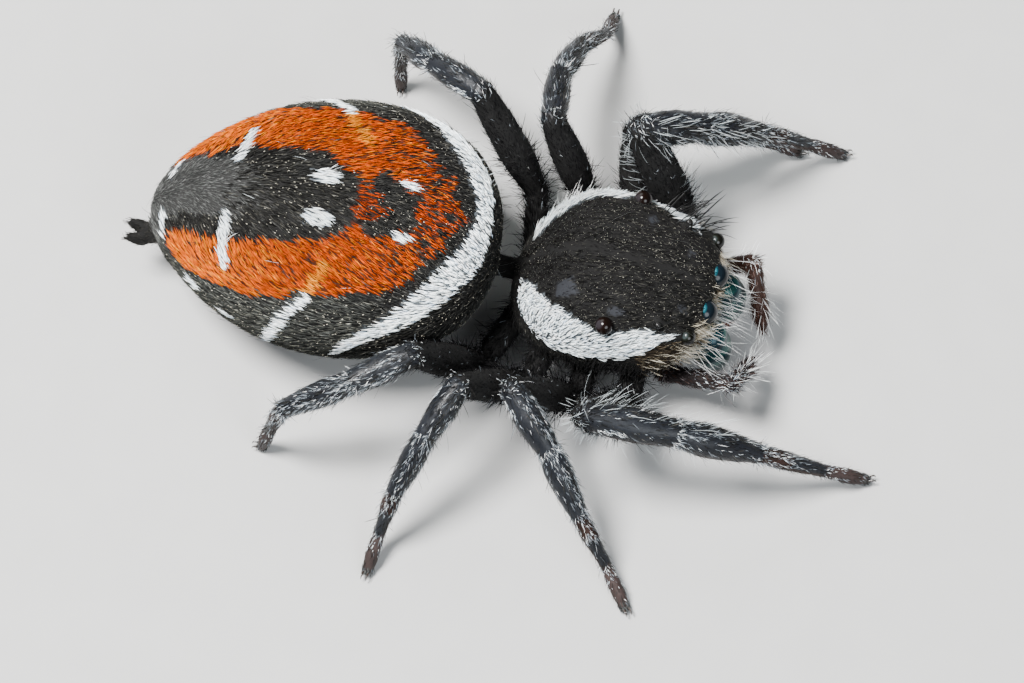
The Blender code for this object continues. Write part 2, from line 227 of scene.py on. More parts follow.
def abdomenPoint(phi, theta, depth=0.0):
    a = abdomen
    shrink = 1 - depth / a["halfLength"]
    along = abdomenAlong(phi) * shrink
    aft = (1 - np.cos(phi)) / 2  # 0 at the front, 1 at the tail
    girth = np.abs(np.sin(phi)) ** a["roundness"] * (1 - a["tailTaper"] * aft**6)
    bend = a["tailDrop"] * aft**2.5
    power = 2 / a["squareness"]
    x = (a["halfWidth"] - depth) * girth * signedPower(np.cos(theta), power) + a["tailSway"] * aft**4
    reach = np.where(np.sin(theta) > 0, a["rise"], a["drop"]) - depth
    z = reach * girth * signedPower(np.sin(theta), power)
    turn = math.radians(a["yaw"])
    cx, cy, cz = a["centre"]
    across = cx + x * math.cos(turn) - along * math.sin(turn)
    return np.stack([across, cy + x * math.sin(turn) + along * math.cos(turn), cz + z - bend], -1)


def abdomenSurface():
    def point(u, v):
        return abdomenPoint(np.pi * np.clip(u, 0, 1), tau * v, abdomen["coatDepth"])

    return dict(name="abdomen", kind="abdomen", point=point, span=(0.006, 0.994))


def limbSurface(name, kind, points, radii, depth=0.0, ends=(1.0, 1.0), twist=(0, 0, 1), **more):
    # a round limb along its two or three points, domed at both ends; v = 0.25 lies on the side of twist
    stations, domes, bendSteps = 60, 8, 12
    path = np.array(points, float)
    if len(path) == 3:
        a, b, c = path
        reach = 0.45 * min(np.linalg.norm(b - a), np.linalg.norm(c - b))
        enter, leave = b + unit(a - b) * reach, b + unit(c - b) * reach
        f = np.linspace(0, 1, bendSteps)[:, None]
        bend = (1 - f) ** 2 * enter + 2 * f * (1 - f) * b + f**2 * leave
        path = np.concatenate([a[None], bend, c[None]])
    stretch = np.concatenate([[0], np.cumsum(lengthOf(np.diff(path, axis=0)))])
    s = np.linspace(0, stretch[-1], stations)
    centres = np.stack([np.interp(s, stretch, path[:, k]) for k in range(3)], -1)
    along = unit(np.gradient(centres, axis=0))
    beside = unit(np.cross(along, np.array(twist, float)))
    above = unit(np.cross(beside, along))
    beside, above = (np.pad(rows, ((domes, domes), (0, 0)), "edge") for rows in (beside, above))
    first, last = radii[0] - depth, radii[-1] - depth
    angle = np.linspace(0, np.pi / 2, domes + 1)[1:]
    head = centres[0] - along[0] * (first * ends[0] * np.sin(angle))[:, None]
    tail = centres[-1] + along[-1] * (last * ends[1] * np.sin(angle))[:, None]
    thick = splineRows(radii, s / stretch[-1])[..., 0] - depth
    sizes = np.concatenate([(first * np.cos(angle))[::-1], thick, last * np.cos(angle)])
    centres = np.concatenate([head[::-1], centres, tail])
    ran = np.concatenate([[0], np.cumsum(lengthOf(np.diff(centres, axis=0)) + 1e-9)])
    ran = ran / ran[-1]

    def point(u, v):
        u = np.clip(u, 0, 1)
        pick = lambda table: np.stack([np.interp(u, ran, table[:, k]) for k in range(3)], -1)
        radius = np.interp(u, ran, sizes)[..., None]
        turn = tau * v[..., None]
        return pick(centres) + pick(beside) * np.cos(turn) * radius + pick(above) * np.sin(turn) * radius

    return dict(name=name, kind=kind, point=point, span=(0.004, 0.996), **more)


slopeStep = 2e-3


def slopes(point, u, v):
    # how a place moves over two steps along, and over two steps around
    step = slopeStep
    return point(u + step, v) - point(u - step, v), point(u, v + step) - point(u, v - step)


def frameAt(surface, u, v):
    # place, unit directions along and around, and outward normal
    point = surface["point"]
    place = point(u, v)
    alongU, aroundV = slopes(point, u, v)
    middle = (place + point(u, v + 0.5)) / 2
    alongU, aroundV = unit(alongU), unit(aroundV)
    normal = unit(np.cross(alongU, aroundV))
    inward = np.sum(normal * (place - middle), -1, keepdims=True) < 0
    normal = np.where(inward, -normal, normal)
    aroundV = unit(np.cross(normal, alongU))
    return place, alongU, aroundV, normal


def slid(surface, u, v, lie, reach):
    # where a strand of that reach, rooted at u and v, has its middle
    point = surface["point"]
    perU, perV = (change / (2 * slopeStep) for change in slopes(point, u, v))
    a, b, c = np.sum(perU * perU, -1), np.sum(perU * perV, -1), np.sum(perV * perV, -1)
    d, e = np.sum(lie * perU, -1) * reach, np.sum(lie * perV, -1) * reach
    det = np.maximum(a * c - b * b, 1e-6)
    moved = np.clip(u + np.clip((c * d - b * e) / det, -0.1, 0.1), *surface["span"])
    turned = v + np.clip((a * e - b * d) / det, -0.05, 0.05)
    return moved, turned, point(moved, turned)


def scatter(surface, perMm2, rng, window=(0.0, 1.0)):
    # even random roots over the window, a share of the length
    nu, nv = 160, 128
    low, high = surface["span"]
    low, high = low + (high - low) * window[0], low + (high - low) * window[1]
    ue = np.linspace(low, high, nu + 1)
    ve = np.linspace(0, 1, nv + 1)
    grid = surface["point"](*np.meshgrid(ue, ve, indexing="ij"))
    a = grid[1:, :-1] - grid[:-1, :-1]
    b = grid[:-1, 1:] - grid[:-1, :-1]
    c = grid[1:, 1:] - grid[:-1, 1:]
    d = grid[1:, 1:] - grid[1:, :-1]
    area = 0.5 * (lengthOf(np.cross(a, b)) + lengthOf(np.cross(c, d)))
    weight = area * perMm2
    total = np.cumsum(weight.ravel())
    count = int(total[-1])
    if count < 1:
        return np.zeros(0), np.zeros(0)
    picks = (np.arange(count) + rng.random(count)) / count * total[-1]
    cell = np.minimum(np.searchsorted(total, picks), weight.size - 1)
    i, j = np.unravel_index(cell, weight.shape)
    u = ue[i] + (ue[1] - ue[0]) * rng.random(count)
    return u, ve[j] + (ve[1] - ve[0]) * rng.random(count)


# meshes from arrays
def addObject(name, data, matrix=None):
    thing = bpy.data.objects.new(name, data)
    if matrix is not None:
        thing.matrix_world = matrix
    bpy.context.scene.collection.objects.link(thing)
    return thing


def setColours(mesh, rgba):
    layer = mesh.color_attributes.new("coatColour", "FLOAT_COLOR", "POINT")
    layer.data.foreach_set("color", rgba.astype(np.float32).ravel())


def meshFrom(name, points, triangles, colours=None, uv=None):
    mesh = bpy.data.meshes.new(name)
    mesh.vertices.add(len(points))
    mesh.vertices.foreach_set("co", np.asarray(points, np.float32).ravel())
    mesh.loops.add(triangles.size)
    mesh.loops.foreach_set("vertex_index", triangles.astype(np.int32).ravel())
    mesh.polygons.add(len(triangles))
    mesh.polygons.foreach_set("loop_start", np.arange(0, triangles.size, 3, dtype=np.int32))
    mesh.update(calc_edges=True)
    if colours is not None:
        setColours(mesh, np.concatenate([colours, np.ones((len(colours), 1))], 1))
    if uv is not None:
        layer = mesh.uv_layers.new(name="OFBake")
        layer.uv.foreach_set("vector", uv[triangles.ravel()].astype(np.float32).ravel())
    return addObject(name, mesh)


def gridArrays(surface, nu, nv):
    # a closed surface as points and triangles, a fan at each end
    low, high = surface["span"]
    u, v = np.meshgrid(np.linspace(low, high, nu), np.arange(nv) / nv, indexing="ij")
    points = surface["point"](u, v).reshape(-1, 3)
    i, j = np.meshgrid(np.arange(nu - 1), np.arange(nv), indexing="ij")
    k = (j + 1) % nv
    a, b, c, d = i * nv + j, i * nv + k, (i + 1) * nv + k, (i + 1) * nv + j
    faces = np.concatenate([np.stack([a, b, c], -1).reshape(-1, 3), np.stack([a, c, d], -1).reshape(-1, 3)])
    ends = np.stack([points[:nv].mean(0), points[-nv:].mean(0)])
    j = np.arange(nv)
    k = (j + 1) % nv
    head = np.stack([np.full(nv, len(points)), k, j], -1)
    tail = np.stack([np.full(nv, len(points) + 1), (nu - 1) * nv + j, (nu - 1) * nv + k], -1)
    return np.concatenate([points, ends]), np.concatenate([faces, head, tail]), u.ravel(), v.ravel()


def joinedArrays(surfaces, grid):
    # several closed surfaces as one set of points and triangles; grid gives the steps for each
    points, triangles, start = [], [], 0
    for surface in surfaces:
        p, t, _, _ = gridArrays(surface, *grid(surface))
        points.append(p)
        triangles.append(t + start)
        start += len(p)
    return np.concatenate(points), np.concatenate(triangles)


# all the surfaces of flesh
def legSurfaces():
    made = []
    for name, points in legs.items():
        sideName, pair = name.split("_")
        side = sides[sideName]
        atSternum, hipEnd = hips[int(pair) - 1]
        inner = np.array((side * (sternum["halfWidth"] - 0.05), atSternum, hipHeight))
        outer = sided(hipEnd, side)
        knee, patellaEnd, ankle, tarsus, tip = np.array(points)
        femur, shin, foot = legRadii[pair]
        reach = 0.45 * min(np.linalg.norm(patellaEnd - knee), np.linalg.norm(ankle - patellaEnd))
        bend = patellaEnd + 0.25 * reach * (unit(knee - patellaEnd) + unit(ankle - patellaEnd))
        split = inner + (outer - inner) * 0.72
        lengths = (  # part, start, end, radii
            ("coxa", inner, split, (hipRadii[0], hipRadii[1], hipRadii[1] * 0.96)),
            ("trochanter", split + unit(outer - split) * 0.12, outer, (0.24, 0.28, 0.27)),
            ("femur", outer, knee, (femur[0] * 0.9, femur[1], femur[2], femur[3] * 0.92)),
            ("patella", knee, bend, (shin[0] * 0.9, shin[1], shin[2] * 0.92)),
            ("tibia", bend, ankle, (shin[2] * 0.9, shin[3], (shin[3] + shin[4]) / 2, shin[4] * 0.92)),
            ("metatarsus", ankle, tarsus, (foot[0] * 0.88, foot[0] * 0.92, foot[1], foot[2] * 0.92)),
            ("tarsus", tarsus, tip, (foot[1] * 0.84, foot[2] * 0.98, foot[2] * 0.98, foot[3] * 0.86)),
        )
        for part, start, end, radii in lengths:
            dome = 0.75 if part == "tarsus" else 0.9
            more = dict(depth=legCoatDepth, ends=(dome * 0.6, dome * 0.8), part=part, leg=name, side=side)
            made.append(limbSurface(f"{name}_{part}", "leg", (start, end), radii, **more))
    return made


def palpSurfaces():
    made = []
    for sideName, points in palps.items():
        side = sides[sideName]
        base, root, elbow, tip = (sided(p, side) for p in points)
        thigh, end = palpRadii["thigh"], palpRadii["tip"]
        middle = elbow + (tip - elbow) * 0.46
        lengths = (
            ("base", base, root, palpRadii["base"]),
            ("thigh", root, elbow, (thigh[0] * 0.9, thigh[1] * 0.94, thigh[2] * 0.9)),
            ("shin", elbow, middle, (end[0] * 0.84, end[1] * 0.9, end[1] * 0.84)),
            ("tip", middle, tip, (end[1] * 0.84, end[1] * 0.98, end[2], end[3] * 0.9)),
        )
        for part, start, finish, radii in lengths:
            name, more = f"palp_{sideName}_{part}", dict(part=part, side=side)
            made.append(limbSurface(name, "palp", (start, finish), radii, palpCoatDepth, (0.6, 0.8), **more))
    return made


def bodySurfaces():
    ends = ((0, stalk["start"], stalk["z"]), (0, stalk["end"], stalk["z"]))
    waist = limbSurface("waist", "waist", ends, (stalk["radius"], stalk["radius"]), stalk["coatDepth"])
    return [loftSurface("shield", shield), loftSurface("sternum", sternum), waist, abdomenSurface()]


def spinneretSurfaces():
    # a short collar on the tail, then four cones
    s = spinnerets
    phi = np.array([s["at"], s["at"] + 0.05])
    ring = abdomenPoint(phi, np.full(2, -math.pi / 2))
    root, alongBelly = ring[0] + np.array((s["aside"], 0, 0)), unit(ring[1] - ring[0])
    turn = math.radians(abdomen["yaw"])
    back = np.array((-math.sin(turn), math.cos(turn), 0.0))
    beside = unit(np.cross(back, (0, 0, 1)))
    down = unit(np.cross(alongBelly, beside))
    down = -down if down[2] > 0 else down
    waist = root + down * 0.30
    radii = (s["collar"] * 1.2, s["collar"] * 0.75)
    collar = (root - down * 0.2, waist)
    kind, depth = "spinneret", s["coatDepth"]
    made = [limbSurface("spinneret_collar", kind, collar, radii, depth, (0.6, 0.5))]
    lie = unit(alongBelly + back * 0.6 + down * 0.25)
    rise = np.cross(beside, lie)
    radii = (s["rootRadius"], s["rootRadius"] * 0.95, s["tipRadius"])
    for k, (across, height) in enumerate(((1, 0.6), (-1, 0.6), (1, -0.6), (-1, -0.6))):
        foot = waist + (beside * across + rise * height) * s["spread"]
        tip = foot + unit(lie + beside * 0.12 * across + rise * 0.06 * height) * s["length"]
        made.append(limbSurface(f"spinneret_{k}", kind, (foot, tip), radii, depth, (0.6, 0.9)))
    return made


def mouthSurfaces():
    # the plates behind the jaws and the low face above them
    plate, brow = ((0.34, -1.02, 0.92), (0.42, -1.52, 0.82)), ((0.30, -1.60, 2.20), (0.98, -1.30, 2.05))
    made = []
    for side in (left, right):
        ends, browEnds = ([sided(p, side) for p in pair] for pair in (plate, brow))
        made.append(limbSurface(f"mouth_plate_{side}", "face", ends, (0.20, 0.24, 0.20), ends=(0.6, 0.8)))
        made.append(limbSurface(f"face_{side}", "face", browEnds, (0.40, 0.46, 0.34), ends=(0.8, 0.8)))
    lip = ((0, -0.86, 0.86), (0, -1.22, 0.80))
    return made + [limbSurface("lip", "face", lip, (0.17, 0.19, 0.15), ends=(0.6, 0.8))]


def eyePodSurfaces():
    # a raised rim that carries each eye
    made = []
    for eye, _, side, centre, radius in eachEye():
        out = (side * 1.0, -0.35, 0.45)
        if eye.startswith("front"):
            out = (side * 0.15 * (eye == "front_side"), -1.0, 0.0)
        out, rim = unit(np.array(out)), radius + 0.035
        points = (centre - out * radius * 2.1, centre - out * radius * 0.70)
        radii = (rim * 1.1, rim * 1.05, rim)
        name, more = f"pod_{eye}_{side}", dict(ends=(0.5, 0.45), twist=(0.1, 0.2, 1))
        made.append(limbSurface(name, "pod", points, radii, **more))
    return made


def surfaceTurn(v):
    # degrees round a surface from its top, -180 to 180
    turn = 90 - ((v + 0.25) % 1.0 - 0.25) * 360
    return np.where(turn > 180, turn - 360, turn)


# markings, the same for skin and coat

# main colour, second colour and its share, spread of brightness; then the skin's colour and its polish
tints = {
    "black": ((0.0155, 0.0155, 0.0148), (0.050, 0.048, 0.042), 0.20, 0.50, (0.004, 0.004, 0.004), 0.0),
    "orange": ((0.250, 0.032, 0.0), (0.36, 0.090, 0.0), 0.28, 0.26, (0.030, 0.005, 0.0), 0.0),
    "white": ((0.85, 0.92, 0.95), (0.52, 0.62, 0.74), 0.28, 0.10, (0.060, 0.068, 0.076), 0.0),
    "velvet": ((0.054, 0.056, 0.055), (0.105, 0.107, 0.105), 0.35, 0.28, (0.014, 0.014, 0.014), 0.0),
    "brown": ((0.026, 0.020, 0.014), (0.30, 0.25, 0.17), 0.30, 0.40, (0.008, 0.006, 0.004), 0.2),
    "cream": ((0.50, 0.45, 0.35), (0.16, 0.12, 0.08), 0.45, 0.30, (0.030, 0.024, 0.018), 0.0),
    "red": ((0.024, 0.012, 0.009), (0.13, 0.09, 0.08), 0.22, 0.40, (0.015, 0.0065, 0.0045), 0.7),
    "mauve": ((0.014, 0.0115, 0.012), (0.17, 0.145, 0.15), 0.28, 0.45, (0.009, 0.0065, 0.0065), 0.6),
    "grey": ((0.030, 0.033, 0.038), (0.24, 0.26, 0.29), 0.30, 0.40, (0.0075, 0.0085, 0.011), 1.0),
    "pink": ((0.085, 0.064, 0.060), (0.40, 0.34, 0.31), 0.35, 0.30, (0.024, 0.016, 0.015), 0.6),
    "ember": ((0.26, 0.030, 0.0), (0.10, 0.013, 0.0), 0.30, 0.30, (0.014, 0.004, 0.002), 0.0),
    "gold": ((0.40, 0.115, 0.0), (0.58, 0.28, 0.05), 0.25, 0.20, (0.05, 0.012, 0.0), 0.0),
    "slate": ((0.007, 0.007, 0.0075), (0.026, 0.026, 0.026), 0.20, 0.35, (0.010, 0.011, 0.014), 0.3),
    "silver": ((0.19, 0.215, 0.24), (0.78, 0.80, 0.82), 0.26, 0.45, (0.016, 0.018, 0.022), 0.6),
    "crown": ((0.0062, 0.0062, 0.0060), (0.056, 0.054, 0.048), 0.36, 0.36, (0.003, 0.003, 0.003), 0.0),
}
kinds = tuple(tints)
kindOf = {name: k for k, name in enumerate(kinds)}

# Abdomen marks: along the body in mm from the widest part, then degrees from the top, left positive and
# right side negative. The ridge of the marks wanders by ridgeShift.
abdomenMarks = dict(
    band=(
        (-3.38, 0), (-3.33, 15), (-3.10, 35), (-2.74, 45), (-2.42, 54), (-2.03, 62), (-1.60, 70),
        (-1.15, 77), (-0.77, 86), (-0.45, 96),
    ),
    bandHalfWidth=(0.24, 0.28, 0.32, 0.33, 0.30, 0.25, 0.21, 0.17, 0.12, 0.07),
    fieldEdge=(
        (-2.95, 2), (-2.78, 8), (-2.66, 17), (-2.48, 22), (-2.28, 26), (-2.12, 32), (-1.95, 37), (-1.75, 40),
        (-1.35, 44), (-0.90, 44), (-0.40, 47), (0.0, 48), (0.50, 50), (0.97, 56), (1.40, 60), (1.95, 63),
        (2.50, 67), (2.90, 72), (3.20, 67), (3.34, 55), (3.48, 40),
    ),
    ridgeShift=(
        (-3.6, -2), (-2.6, -5), (-1.8, -7), (-0.9, -7), (0.0, -5.2), (1.0, -5), (2.0, -4), (2.8, -1),
        (3.3, 1),
    ),
    stripeEdge=(
        (-0.80, 5), (-0.73, 9), (-0.60, 11.5), (-0.40, 14), (0.0, 18.5), (0.40, 20), (0.90, 21), (1.40, 23),
        (1.75, 26), (2.30, 28), (2.80, 33), (3.20, 38), (3.50, 60), (3.8, 90),
    ),
    blobEdge=((-2.06, 0), (-1.95, 5), (-1.85, 8), (-1.50, 12.5), (-1.25, 14), (-1.05, 12), (-0.90, 9)),
    bridge=(-0.93, 0.44, 9.0),  # where the blob ends at its sides, how much sooner on top, over how far
    velvetLeft=((0.9, -2), (1.44, 8), (1.95, 14), (2.40, 21), (2.80, 30), (3.20, 50)),
    velvetRight=((0.9, -6), (1.20, -13), (2.24, -14), (2.84, -18), (3.30, -24)),
    notches=((-2.40, 15, 0.10), (-2.37, 7, 0.08), (-2.69, -6, 0.11), (-2.25, -21, 0.11), (-2.52, -15, 0.08)),
    spots=(  # along, degrees, half length along, half width across
        (-1.81, 3.5, 0.20, 0.09), (-1.75, -18.5, 0.23, 0.10), (-0.01, 2.8, 0.28, 0.17),
        (0.05, -13.2, 0.32, 0.18), (1.88, 85, 0.15, 0.10), (1.90, -93, 0.17, 0.10),
        (2.72, 86, 0.18, 0.13), (2.68, -86, 0.21, 0.15),
    ),
    strokes=(  # places along the stroke, half width
        (((1.88, 15), (1.80, 22), (1.68, 33)), 0.115),
        (((2.02, -15), (2.00, -30), (1.95, -45)), 0.12),
        (((3.33, 26), (3.27, 35), (3.19, 40)), 0.09),
        (((3.44, -20), (3.42, -37), (3.41, -52)), 0.09),
        (((0.12, -53), (0.40, -62), (0.62, -70)), 0.085),
        (((0.62, -70), (0.90, -90), (1.02, -104)), 0.10),
        (((-0.30, 42), (-0.12, 50), (0.30, 66)), 0.105),
        (((0.30, 66), (0.60, 82), (0.85, 98)), 0.135),
    ),
    goldStreaks=(((-0.24, -35), (-0.07, -44), (0.13, -53)), ((-0.80, 22), (-0.49, 33), (-0.30, 42))),
)


def throughTable(table, at):
    table = np.array(table, float)
    return np.interp(at, table[:, 0], table[:, 1])


phiTable = np.linspace(0, np.pi, 400)
alongTable = abdomenAlong(phiTable)


def abdomenSpot(along, degrees):
    # the place on the abdomen's skin for a mark, left positive
    phi = np.interp(along, alongTable, phiTable)
    theta = np.pi / 2 - np.radians(degrees)
    return abdomenPoint(np.asarray(phi, float), np.asarray(theta, float), abdomen["coatDepth"])


def strokeDistance(points, path):
    # distance to a path, and how far along it the nearest place lies, in steps of its points
    best, where = np.full(len(points), 9.0), np.zeros(len(points))
    for k, (a, b) in enumerate(zip(path[:-1], path[1:])):
        t = np.clip(((points - a) @ (b - a)) / max((b - a) @ (b - a), 1e-9), 0, 1)
        gap = lengthOf(points - (a + t[:, None] * (b - a)))
        where = np.where(gap < best, k + t, where)
        best = np.minimum(best, gap)
    return best, where


def abdomenKinds(u, v, points):
    marks = abdomenMarks
    along = abdomenAlong(np.pi * u) + 0.06 * waves(points, 0.45, 11) + 0.03 * waves(points, 0.15, 17)
    degrees = surfaceTurn(v)
    offRidge = degrees - throughTable(marks["ridgeShift"], along) * np.clip(1.3 - np.abs(degrees) / 60, 0, 1)
    away = np.abs(offRidge) + waves(points, 0.42, 12) * 1.4 + waves(points, 0.14, 13) * 1.3
    kind = np.full(len(points), kindOf["black"])
    field = (away < throughTable(marks["fieldEdge"], along)) & (along > -2.98) & (along < 3.5)
    kind[field] = kindOf["orange"]
    mixed = (along < -1.80) & (degrees < -1 + 2 * waves(points, 0.3, 19)) & (degrees > -17)
    mixed |= (along < -1.5 - away * 0.01) & (waves(points, 0.5, 18) > 0.25)
    kind[field & mixed] = kindOf["ember"]
    stripe = (away < throughTable(marks["stripeEdge"], along)) & (along > -0.78)
    kind[stripe] = kindOf["black"]
    fuzzy = degrees + 3 * waves(points, 0.3, 20)
    velvet = stripe & (fuzzy < throughTable(marks["velvetLeft"], along))
    velvet &= (fuzzy > throughTable(marks["velvetRight"], along)) & (along > 1.0)
    kind[velvet | (along > 3.45)] = kindOf["velvet"]
    ends, sooner, over = marks["bridge"]
    inBlob = (away < throughTable(marks["blobEdge"], along)) & (along > -2.06) & (along < -0.70)
    kind[inBlob] = kindOf["black"]
    kind[inBlob & (along > ends - sooner * np.clip(1 - away / over, 0, 1))] = kindOf["ember"]

    def inSpot(place, angle, reach, across):
        ends = abdomenSpot(np.array([place - 0.05, place, place + 0.05]), np.full(3, angle))
        ahead = unit(ends[2] - ends[0])
        offset = points - ends[1]
        forward = offset @ ahead
        sideways = lengthOf(offset - forward[:, None] * ahead)
        return (forward / reach) ** 2 + (sideways / across) ** 2 < 1 + 0.22 * waves(points, 0.2, 16)

    for place, angle, radius in marks["notches"]:
        kind[inSpot(place, angle, radius * 1.3, radius)] = kindOf["black"]
    for side in (left, right):
        path = abdomenSpot(*np.array([(a, d * side) for a, d in marks["band"]]).T)
        gap, t = strokeDistance(points, path)
        width = np.interp(t, np.arange(len(path)), marks["bandHalfWidth"])
        kind[gap < width * (1 + 0.13 * waves(points, 0.22, 14))] = kindOf["white"]
    for streak in marks["goldStreaks"]:
        gap, _ = strokeDistance(points, abdomenSpot(*np.array(streak).T))
        kind[(gap < 0.11 + 0.05 * waves(points, 0.2, 24)) & (kind == kindOf["orange"])] = kindOf["gold"]
    for stroke, width in marks["strokes"]:
        gap, _ = strokeDistance(points, abdomenSpot(*np.array(stroke).T))
        kind[gap < width * (1 + 0.16 * waves(points, 0.2, 15))] = kindOf["white"]
    for spot in marks["spots"]:
        kind[inSpot(*spot)] = kindOf["white"]
    return kind


shieldMarks = dict(  # y, degrees from the top
    frontRight=-1.62, frontLeft=-1.26,
    upperRight=(
        (-1.60, 50), (-1.50, 48), (-1.12, 46), (-0.85, 43), (-0.60, 45), (-0.30, 52), (0.05, 57), (0.27, 50),
        (0.79, 40), (1.36, 31), (1.65, 19), (1.95, 14), (2.05, 12),
    ),
    upperLeft=(
        (-1.60, 33), (-1.38, 33), (-1.22, 32), (-1.04, 34), (-0.89, 37), (-0.61, 42), (-0.46, 50),
        (-0.30, 54), (-0.10, 50), (0.10, 43), (0.23, 40), (0.40, 38), (0.70, 37), (0.92, 36),
        (1.08, 33), (1.26, 30), (1.42, 28), (1.58, 25), (1.81, 22), (2.05, 12),
    ),
    lower=(
        (-1.60, 55), (-1.50, 58), (-1.30, 58), (-1.09, 62), (-0.93, 69), (-0.53, 81), (0.0, 83), (0.46, 86),
        (1.04, 85), (1.53, 74), (1.80, 62), (2.00, 49), (2.12, 30),
    ),
    # bare patches: x, y, half width and half length
    bare=(
        (-0.92, 0.95, 0.20, 0.26), (0.98, -0.34, 0.10, 0.12), (-1.20, -0.16, 0.11, 0.15),
        (-0.72, -1.42, 0.07, 0.09), (0.52, -1.30, 0.07, 0.09),
    ),
)


def shieldKinds(v, points):
    marks = shieldMarks
    degrees = surfaceTurn(v)
    away = np.abs(degrees) + waves(points, 0.3, 21) * 1.5
    y = points[:, 1] + 0.05 * waves(points, 0.3, 22)
    onLeft = degrees > 0
    upper = np.where(onLeft, throughTable(marks["upperLeft"], y), throughTable(marks["upperRight"], y))
    lower = throughTable(marks["lower"], y)
    kind = np.full(len(points), kindOf["crown"])
    kind[away > upper] = kindOf["black"]
    for x, ahead, half, reach in marks["bare"]:
        gap = np.hypot((points[:, 0] - x) / half, (points[:, 1] - ahead) / reach)
        kind[(gap - 0.15 * waves(points, 0.3, 23) < 1) & (points[:, 2] > 2.6)] = kindOf["slate"]
    cheek = (away > 60) & (y < -0.62) & (y < -0.75 - (away - 78) * 0.014)
    kind[cheek] = kindOf["brown"]
    front = np.where(onLeft, marks["frontLeft"], marks["frontRight"])
    band = (away > upper) & (away < lower) & (y > front) & (y < 2.02) & (np.abs(degrees) < 88)
    kind[band] = kindOf["white"]
    kind[(y < -1.80) & (away > 40)] = kindOf["cream"]
    for _, _, _, centre, radius in eachEye():
        kind[(lengthOf(points - centre) < radius + 0.07) & (kind == kindOf["white"])] = kindOf["grey"]
    return kind


silverOf = {"right_1": 0.45, "right_2": 2.4, "right_4": 2.6, "left_1": 0.8}


def limbShares(surface, t, turn):
    # shares of white, silver and dark scales over a length of leg; turn is 0 on top and 90 on the outer
    # rear side, which is nearly bare
    part = surface["part"]
    hairy = smoothStep(-turn, -30, 30) * smoothStep(turn, -175, -120) + smoothStep(np.abs(turn), 125, 165)
    bare = 1 - np.clip(hairy, 0, 1)
    hairy = hairy * silverOf.get(surface["leg"], 1.0)
    dark = 1 - 0.86 * bare
    if part == "femur":
        ring = smoothStep(t, 0.86, 0.96)
        return 0.10 * ring, 0.006 + 0.10 * ring, 0.9 + 0 * t
    if part == "patella":
        ring = smoothStep(t, 0.84, 0.92)
        base = 1 - smoothStep(t, 0.02, 0.12)
        patch = np.exp(-((t - 0.28) / 0.10) ** 2 - ((turn - 80) / 20) ** 2)
        silver = 0.04 + 0.24 * hairy * smoothStep(t, 0.10, 0.30)
        return 0.50 * ring + 0.05 * base + 0.95 * patch, silver, dark
    if part == "tibia":
        base = 1 - smoothStep(t, 0.10, 0.34)
        end = smoothStep(t, 0.84, 0.94)
        return 0.10 * base + 0.26 * end, 0.09 + 0.30 * hairy + 0.20 * base, dark
    if part == "metatarsus":
        base = 1 - smoothStep(t, 0.40, 0.56)
        return 0.16 * base + 0.3 * smoothStep(t, 0.92, 0.98), 0.45 * base + 0.06, 0.35 + 0.4 * base
    if part == "tarsus":
        base = 1 - smoothStep(t, 0.20, 0.55)
        return 0.30 * base, 0.30 * base + 0.06, 0.4 + 0 * t
    return 0.0 * t, 0.005 + 0 * t, 1 + 0 * t


def limbSkinKinds(surface, u, v):
    turn = surfaceTurn(v) * -surface["side"]
    kind = np.full(len(u), kindOf["black"])
    part = surface["part"]
    if part in ("patella", "tibia"):
        kind[:] = kindOf["grey"]
        kind[(turn > 98) & (turn < 150) & (u > 0.30)] = kindOf["red"]
    if part == "metatarsus":
        kind[:] = kindOf["grey"]
        kind[(np.abs(turn) > 70) | (u < 0.45)] = kindOf["red"]
    if part == "tarsus":
        kind[:] = kindOf["pink"]
    return kind


def kindsOn(surface, u, v, points):
    kind = surface["kind"]
    if kind == "abdomen":
        return abdomenKinds(u, v, points)
    if kind == "shield":
        return shieldKinds(v, points)
    if kind == "leg":
        return limbSkinKinds(surface, u, v)
    plain = {"face": "brown", "palp": "red" if surface.get("side") == left else "mauve"}
    return np.full(len(u), kindOf[plain.get(kind, "black")])


# materials
def newMaterial(name):
    material = bpy.data.materials.new(name)
    material.use_nodes = True
    nodes = material.node_tree.nodes
    return material, nodes, material.node_tree.links, nodes["Principled BSDF"]


def setInputs(node, values):
    for socket, value in values.items():
        node.inputs[socket].default_value = value


def put(nodes, kind, values=None, **settings):
    # a shader node with its settings, then the values of its inputs
    node = nodes.new("ShaderNode" + kind)
    for key, value in settings.items():
        setattr(node, key, value)
    setInputs(node, values or {})
    return node


def join(links, *rows):
    # each row: from node, its output, to node, its input
    for start, output, end, entry in rows:
        links.new(start.outputs[output], end.inputs[entry])


def rampNode(nodes, stops):
    # stops are pairs of position and colour, in order
    node = put(nodes, "ValToRGB")
    elements = node.color_ramp.elements
    elements[0].position, elements[1].position = stops[0][0], stops[-1][0]
    for at, _ in stops[1:-1]:
        elements.new(at)
    for element, (_, colour) in zip(elements, stops):
        element.color = (*colour, 1)
    return node


